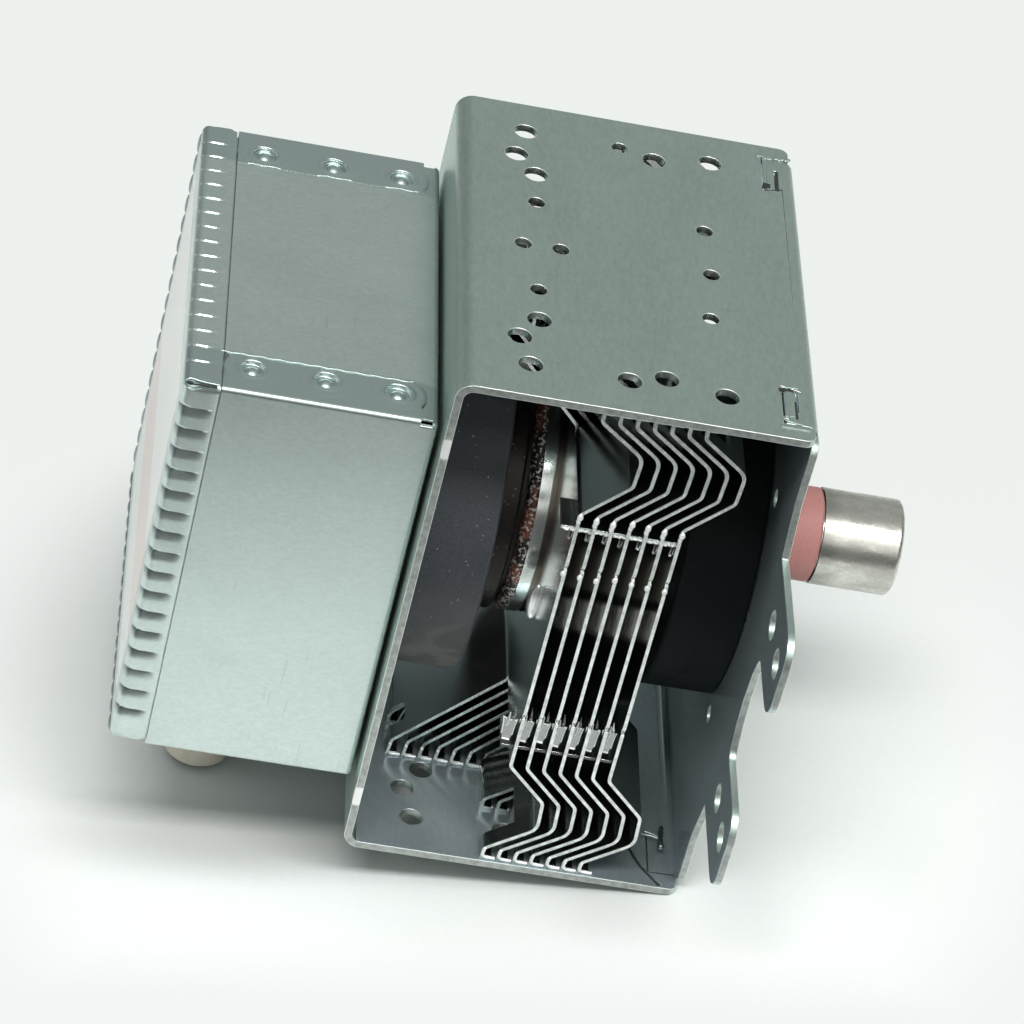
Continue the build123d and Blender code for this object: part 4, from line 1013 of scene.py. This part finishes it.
def build_shard():
    """The small bent tongue on the yoke's lower plate, near its end."""
    work = bmesh.new()
    root = (-48.3, -10.0, -45.2)
    add_wire(work, [root, (-49.1, -10.1, -44.1), (-49.3, -10.2, -43.2), (-48.4, -10.1, -42.0),
                    (-46.6, -10.0, -40.3)], 0.22)
    add_wire(work, [root, (-47.5, -10.0, -44.6), (-47.2, -10.0, -43.2), (-46.5, -10.0, -40.6)], 0.16)
    # The tongue takes the near-white finish, a painted highlight.
    new_piece("yoke_tongue", work, "bead", 60.0)


# Operators

CUP_RADIUS = 18.2


def yoke_painted_shade(centre, normal):
    """True on the yoke's lower and end plates where they face the fins, which take painted shade."""
    return (normal.z > 0.9 and centre.z < -44.0) or (normal.x > 0.9 and centre.x < -53.0)


def plate_painted_shade(centre, normal):
    """True on the base plate where it faces the fins, and on its lower return flange, which take painted
    shade.
    """
    return normal.x < -0.25 or (normal.z > 0.9 and centre.z < -40.0 and centre.x < -2.0)


def collar_face(centre, normal):
    """True on the fins' collars round the anode."""
    return math.hypot(centre.y, centre.z) < 21.2 and abs(normal.x) < 0.6


def fin_shaded(centre, normal):
    """True on the feet's upper faces and on the lower flap row's edge, which get little light and take
    painted shade.
    """
    foot = abs(centre.z) > 44.2 and normal.z > 0.4
    return foot or (-23.0 < centre.z < -16.0 and normal.y < -0.6 and -38.8 < centre.y < -37.8)


def cup_hollow(centre, normal):
    """True inside the sealing cups' rims, which are painted near black as shade."""
    return math.hypot(centre.y, centre.z) < CUP_RADIUS


def cup_rim(centre, normal):
    """True on the brazed face of the sealing cups' rims."""
    return not cup_hollow(centre, normal) and normal.x < -0.6


def upper_band_lift(place):
    """Raises the box's top beside the far flange, so that the step between them nearly closes."""
    return 0.37 if 34.8 < place.z < 35.2 and abs(place.y) < 26.2 else 0.0


class MAGNETRON_OT_materials(bpy.types.Operator):
    """Makes every finish that the pieces use"""
    bl_idname = "magnetron.materials"
    bl_label = "Materials"

    def execute(self, context):
        MATERIALS.update(build_materials(context.scene.magnetron_finish))
        return {"FINISHED"}


class MAGNETRON_OT_yoke(bpy.types.Operator):
    """The bent yoke with its pierced side plates"""
    bl_idname = "magnetron.yoke"
    bl_label = "Yoke"

    def execute(self, context):
        rounding = context.scene.magnetron_finish.edge_round
        dress("yoke", "zinc", rounding, True, yoke_painted_shade)
        build_stakes()
        build_shard()
        return {"FINISHED"}


class MAGNETRON_OT_base_plate(bpy.types.Operator):
    """The dished base plate with its ears and staked tabs"""
    bl_idname = "magnetron.base_plate"
    bl_label = "Base plate"

    def execute(self, context):
        rounding = context.scene.magnetron_finish.edge_round
        dress("base_plate", "zinc", rounding, True, plate_painted_shade)
        return {"FINISHED"}


class MAGNETRON_OT_magnets(bpy.types.Operator):
    """Both ferrite rings and the browned seat ring"""
    bl_idname = "magnetron.magnets"
    bl_label = "Magnets"

    def execute(self, context):
        # The filter end magnet takes the paler ferrite copy, painted light.
        dress_plainly(("lit_ferrite", "ferrite", 0.15, ("filter_end_magnet",)),
                      ("ferrite", "ferrite", 0.15, ("antenna_end_magnet",)),
                      ("soot", "soot_steel", 0.1, ("magnet_seat_ring",)))
        return {"FINISHED"}


class MAGNETRON_OT_fins(bpy.types.Operator):
    """The seven slit and folded cooling fins"""
    bl_idname = "magnetron.fins"
    bl_label = "Cooling fins"

    def execute(self, context):
        for index in range(FINS):
            dress(f"fin_{index + 1}", "aluminium", 0.07 * MM, True, fin_shaded,
                  [("collar", collar_face)])
        build_fin_beads()
        build_fin_lugs()
        return {"FINISHED"}


class MAGNETRON_OT_tube(bpy.types.Operator):
    """The anode with its vanes, straps, pole pieces, cups and cathode"""
    bl_idname = "magnetron.tube"
    bl_label = "Tube"

    def execute(self, context):
        dress_plainly(("anode", "copper", 0.1, ("anode_cylinder",)))
        for name in ("seal_cup_filter_end", "seal_cup_antenna_end"):
            dress(name, "cup", 0.12 * MM, others=[("cup_painted_shade", cup_hollow), ("braze", cup_rim)])
        build_reflection_lump_and_braze()
        dress_plainly(
            ("nickel", "nickel", 0.08, ("pole_piece_filter_end", "pole_piece_antenna_end")),
            ("copper", "copper", 0.08, [f"vane_{index + 1}" for index in range(10)]),
            ("copper", "copper", 0.06, ("strap_inner_filter_end", "strap_inner_antenna_end",
                                        "strap_outer_filter_end", "strap_outer_antenna_end")),
            ("tungsten", "tungsten", 0.04, ("filament", "end_hat_antenna_side", "end_hat_filter_side",
                                            "centre_lead", "side_lead")),
            ("white_ceramic", "alumina_white", 0.1, ("cathode_stem",)))
        return {"FINISHED"}


class MAGNETRON_OT_antenna(bpy.types.Operator):
    """The ceramic, the plated cap and the mesh gasket"""
    bl_idname = "magnetron.antenna"
    bl_label = "Antenna"

    def execute(self, context):
        dress_plainly(("ceramic", "alumina_pink", 0.0, ("antenna_ceramic",)),
                      ("cap", "nickel", 0.06, ("antenna_cap",)),
                      ("mesh", "wire_mesh", 0.0, ("gasket",)),
                      ("nickel", "nickel", 0.05, ("exhaust_tube",)),
                      ("copper", "copper", 0.0, ("antenna_lead",)))
        return {"FINISHED"}


class MAGNETRON_OT_filter_box(bpy.types.Operator):
    """The tinned box with its clinched flanges"""
    bl_idname = "magnetron.filter_box"
    bl_label = "Filter box"

    def execute(self, context):
        dress("filter_box", "tin", 0.08 * MM, lift=upper_band_lift)
        build_clinches()
        return {"FINISHED"}


class MAGNETRON_OT_filter_lid(bpy.types.Operator):
    """The crimped lid and its bare label"""
    bl_idname = "magnetron.filter_lid"
    bl_label = "Filter lid"

    def execute(self, context):
        build_lid()
        build_rim_folds()
        build_label()
        return {"FINISHED"}


class MAGNETRON_OT_connector(bpy.types.Operator):
    """The connector under the box, with the chokes behind it"""
    bl_idname = "magnetron.connector"
    bl_label = "Connector"

    def execute(self, context):
        dress_plainly(("moulding", "moulding", 0.15, ("capacitor_housing",)),
                      ("potting", "potting", 0.1, ("capacitor_body",)),
                      ("tin", "tin_plate", 0.1, ("capacitor_flange",)),
                      ("tin", "tin_plate", 0.25, ("capacitor_rivets",)))
        for index in (1, 2):
            dress_plainly(("nickel", "nickel", 0.06, (f"terminal_tab_{index}",)),
                          ("enamel", "enamel_wire", 0.2, (f"choke_coil_{index}",)),
                          ("ferrite", "ferrite_core", 0.15, (f"choke_core_{index}",)))
        return {"FINISHED"}


# Studio

REST_EDGE = Vector((-0.0010, 0.0, -0.0467))
MIDDLE_X = -0.03
FLOOR_RADIUS = 1.6
CAMERA_PLACE = (-0.139775, -0.611742, 0.453178)
CAMERA_RIGHT = (0.97797, -0.00939, 0.20819)
CAMERA_FORWARD = (0.13409, 0.79297, -0.59432)
FOCAL_LENGTH = 167.1


def floor_frame(tilt):
    """The floor's own axes in the part's frame: along, across and up."""
    return (Vector((math.cos(tilt), 0.0, math.sin(tilt))), Vector((0.0, 1.0, 0.0)),
            Vector((-math.sin(tilt), 0.0, math.cos(tilt))))


def above_floor(tilt, height):
    """A point over the middle of the resting part, at a height above the floor."""
    along, _, up = floor_frame(tilt)
    return REST_EDGE + along * MIDDLE_X + up * height


def add_area(name, toward, distance, target, size, power, tint):
    """A rectangular lamp that looks at the target from a direction and a distance."""
    lamp = bpy.data.lights.new(name, "AREA")
    lamp.shape = "RECTANGLE"
    lamp.size, lamp.size_y = size
    lamp.energy = power
    lamp.color = tint
    holder = add_object(name, lamp)
    holder.location = target + Vector(toward).normalized() * distance
    holder.rotation_euler = (target - holder.location).to_track_quat("-Z", "Y").to_euler()


def mixed(graph, factor, first, second):
    """Two shaders mixed by a factor."""
    return graph.node("MixShader", {0: factor, 1: first.outputs[0], 2: second.outputs[0]})


def floor_material(studio):
    """The tabletop: with painted shade close under the part and a painted shadow under the box, even and
    pale where the camera sees it farther off.
    """
    graph = Finish("Pale tabletop")
    place = graph.place()
    speckle = graph.ramp(graph.noise(700.0, 3.0, place), 0.3, 0.7, 0.985, 1.0)
    # Painted shade from ambient occlusion, close under the part.
    open_sky = graph.node("AmbientOcclusion", {"Distance": 0.055}, samples=8).outputs["AO"]
    painted_contact_shade = graph.ramp(open_sky, 0.0, 0.75, 1.0 - studio.contact_shade, 1.0)
    # A painted shadow: a soft dark patch under the filter box.
    offset = graph.vector("SUBTRACT", place, (-0.042, -0.029, 0.0))
    squashed = graph.vector("MULTIPLY", offset, (1.0 / 0.034, 1.0 / 0.011, 0.0))
    painted_box_shadow = graph.ramp(graph.length(squashed), 1.3, 0.3, 1.0, 0.70)
    shade = graph.times(speckle, graph.times(painted_contact_shade, painted_box_shadow))
    for label, value in (("Base Color", graph.tinted(shade, rgba(studio.floor))), ("Roughness", 0.55),
                         ("Specular IOR Level", 0.2)):
        graph.feed(graph.shader, label, value)
    distance = graph.length(place)
    front = graph.axis("Y", place)
    seen = graph.node("LightPath").outputs["Is Camera Ray"]
    back = graph.node("NewGeometry").outputs["Backfacing"]
    faded = graph.larger(graph.ramp(distance, 0.40, 0.80), graph.ramp(front, -0.085, -0.19))
    hidden = graph.larger(graph.times(faded, graph.minus(1.0, seen)), back)
    wide = graph.larger(graph.ramp(distance, 0.068, 0.105), graph.ramp(front, -0.046, -0.070))
    tone = graph.mix(graph.ramp(front, 0.10, -0.05), rgba(studio.backdrop), (0.90, 0.92, 0.91, 1.0))
    even = graph.node("Emission", {"Color": tone, "Strength": 1.0})
    surface = mixed(graph, graph.times(seen, wide), graph.shader, even)
    whole = mixed(graph, hidden, surface, graph.node("BsdfTransparent"))
    graph.feed(graph.tree.nodes["Material Output"], "Surface", whole.outputs[0])
    return graph.material


def build_world(studio):
    """A plain backdrop for the camera, and a soft room that is brightest behind the part for the rest."""
    world = bpy.data.worlds.new("Studio")
    world.use_nodes = True
    bpy.context.scene.world = world
    world.node_tree.nodes.clear()
    graph = Graph(world.node_tree)
    x, y, z = (graph.axis(letter, graph.node("TexCoord").outputs["Generated"]) for letter in "XYZ")
    behind = graph.ramp(y, -0.25, 0.55, 0.16, studio.room_level)
    aside = graph.ramp(x, -0.8, 0.1, 0.50, 1.0)
    overhead = graph.ramp(z, 0.72, 0.98, 0.0, 0.12)
    left = graph.ramp(x, -0.60, -0.95, 0.0, 0.7)
    room = graph.plus(graph.times(behind, aside), graph.plus(overhead, left))
    tone = graph.node("CombineColor", {
        "Red": graph.times(room, 0.95), "Green": room, "Blue": graph.times(room, 0.97)}).outputs[0]
    seen = graph.node("Background", {"Color": rgba(studio.backdrop), "Strength": 1.0})
    lit = graph.node("Background", {"Color": tone, "Strength": 1.0})
    whole = mixed(graph, graph.node("LightPath").outputs["Is Camera Ray"], lit, seen)
    graph.feed(graph.node("OutputWorld"), "Surface", whole.outputs[0])


def build_camera(scene):
    """The camera, from its place and the directions to its right and ahead of it."""
    lens = bpy.data.cameras.new("camera")
    lens.sensor_width = 36.0
    lens.lens = FOCAL_LENGTH
    lens.clip_start = 0.01
    forward = Vector(CAMERA_FORWARD).normalized()
    right = Vector(CAMERA_RIGHT)
    right = (right - forward * right.dot(forward)).normalized()
    turn = Matrix((right, right.cross(forward), -forward)).transposed().to_4x4()
    scene.camera = add_object("camera", lens)
    scene.camera.matrix_world = Matrix.Translation(CAMERA_PLACE) @ turn


class MAGNETRON_OT_studio(bpy.types.Operator):
    """The floor, the soft lights, the backdrop and the camera"""
    bl_idname = "magnetron.studio"
    bl_label = "Studio"

    def execute(self, context):
        studio = context.scene.magnetron_studio
        tilt = studio.floor_tilt
        work = bmesh.new()
        bmesh.ops.create_circle(work, cap_ends=True, segments=64, radius=FLOOR_RADIUS)
        floor = add_mesh("tabletop", work)
        turn = Matrix(floor_frame(tilt)).transposed().to_4x4()
        floor.matrix_world = Matrix.Translation(above_floor(tilt, 0.0)) @ turn
        floor.data.materials.append(floor_material(studio))
        centre = above_floor(tilt, 0.04)
        add_area("key_light", (0.0, -0.44, 0.90), 1.2, centre, (1.5, 0.24), studio.key_power,
                 (1.0, 1.0, 0.985))
        add_area("front_card", (0.12, -0.74, 0.66), 0.62, centre, (0.5, 0.46), studio.card_power,
                 (1.0, 1.0, 0.96))
        build_world(studio)
        build_camera(context.scene)
        context.scene.view_settings.view_transform = "Standard"
        return {"FINISHED"}


class MAGNETRON_PT_panel(bpy.types.Panel):
    """Lists the pieces in the sidebar"""
    bl_idname = "MAGNETRON_PT_panel"
    bl_label = "Magnetron"
    bl_space_type = "VIEW_3D"
    bl_region_type = "UI"
    bl_category = "Magnetron"

    def draw(self, context):
        for group in (context.scene.magnetron_finish, context.scene.magnetron_studio):
            for name in group.__annotations__:
                self.layout.prop(group, name)
        for operator in OPERATORS:
            self.layout.operator(operator.bl_idname)


OPERATORS = (
    MAGNETRON_OT_materials, MAGNETRON_OT_yoke, MAGNETRON_OT_base_plate, MAGNETRON_OT_magnets,
    MAGNETRON_OT_fins, MAGNETRON_OT_tube, MAGNETRON_OT_antenna, MAGNETRON_OT_filter_box,
    MAGNETRON_OT_filter_lid, MAGNETRON_OT_connector, MAGNETRON_OT_studio)
CLASSES = (MagnetronFinish, MagnetronStudio) + OPERATORS + (MAGNETRON_PT_panel,)


def register():
    for entry in CLASSES:
        bpy.utils.register_class(entry)
    bpy.types.Scene.magnetron_finish = PointerProperty(type=MagnetronFinish)
    bpy.types.Scene.magnetron_studio = PointerProperty(type=MagnetronStudio)


def unregister():
    del bpy.types.Scene.magnetron_studio
    del bpy.types.Scene.magnetron_finish
    for entry in reversed(CLASSES):
        bpy.utils.unregister_class(entry)


def main():
    register()
    bpy.ops.magnetron.materials()
    bpy.ops.magnetron.yoke()
    bpy.ops.magnetron.base_plate()
    bpy.ops.magnetron.magnets()
    bpy.ops.magnetron.fins()
    bpy.ops.magnetron.tube()
    bpy.ops.magnetron.antenna()
    bpy.ops.magnetron.filter_box()
    bpy.ops.magnetron.filter_lid()
    bpy.ops.magnetron.connector()
    bpy.ops.magnetron.studio()


if __name__ == "__main__":
    main()
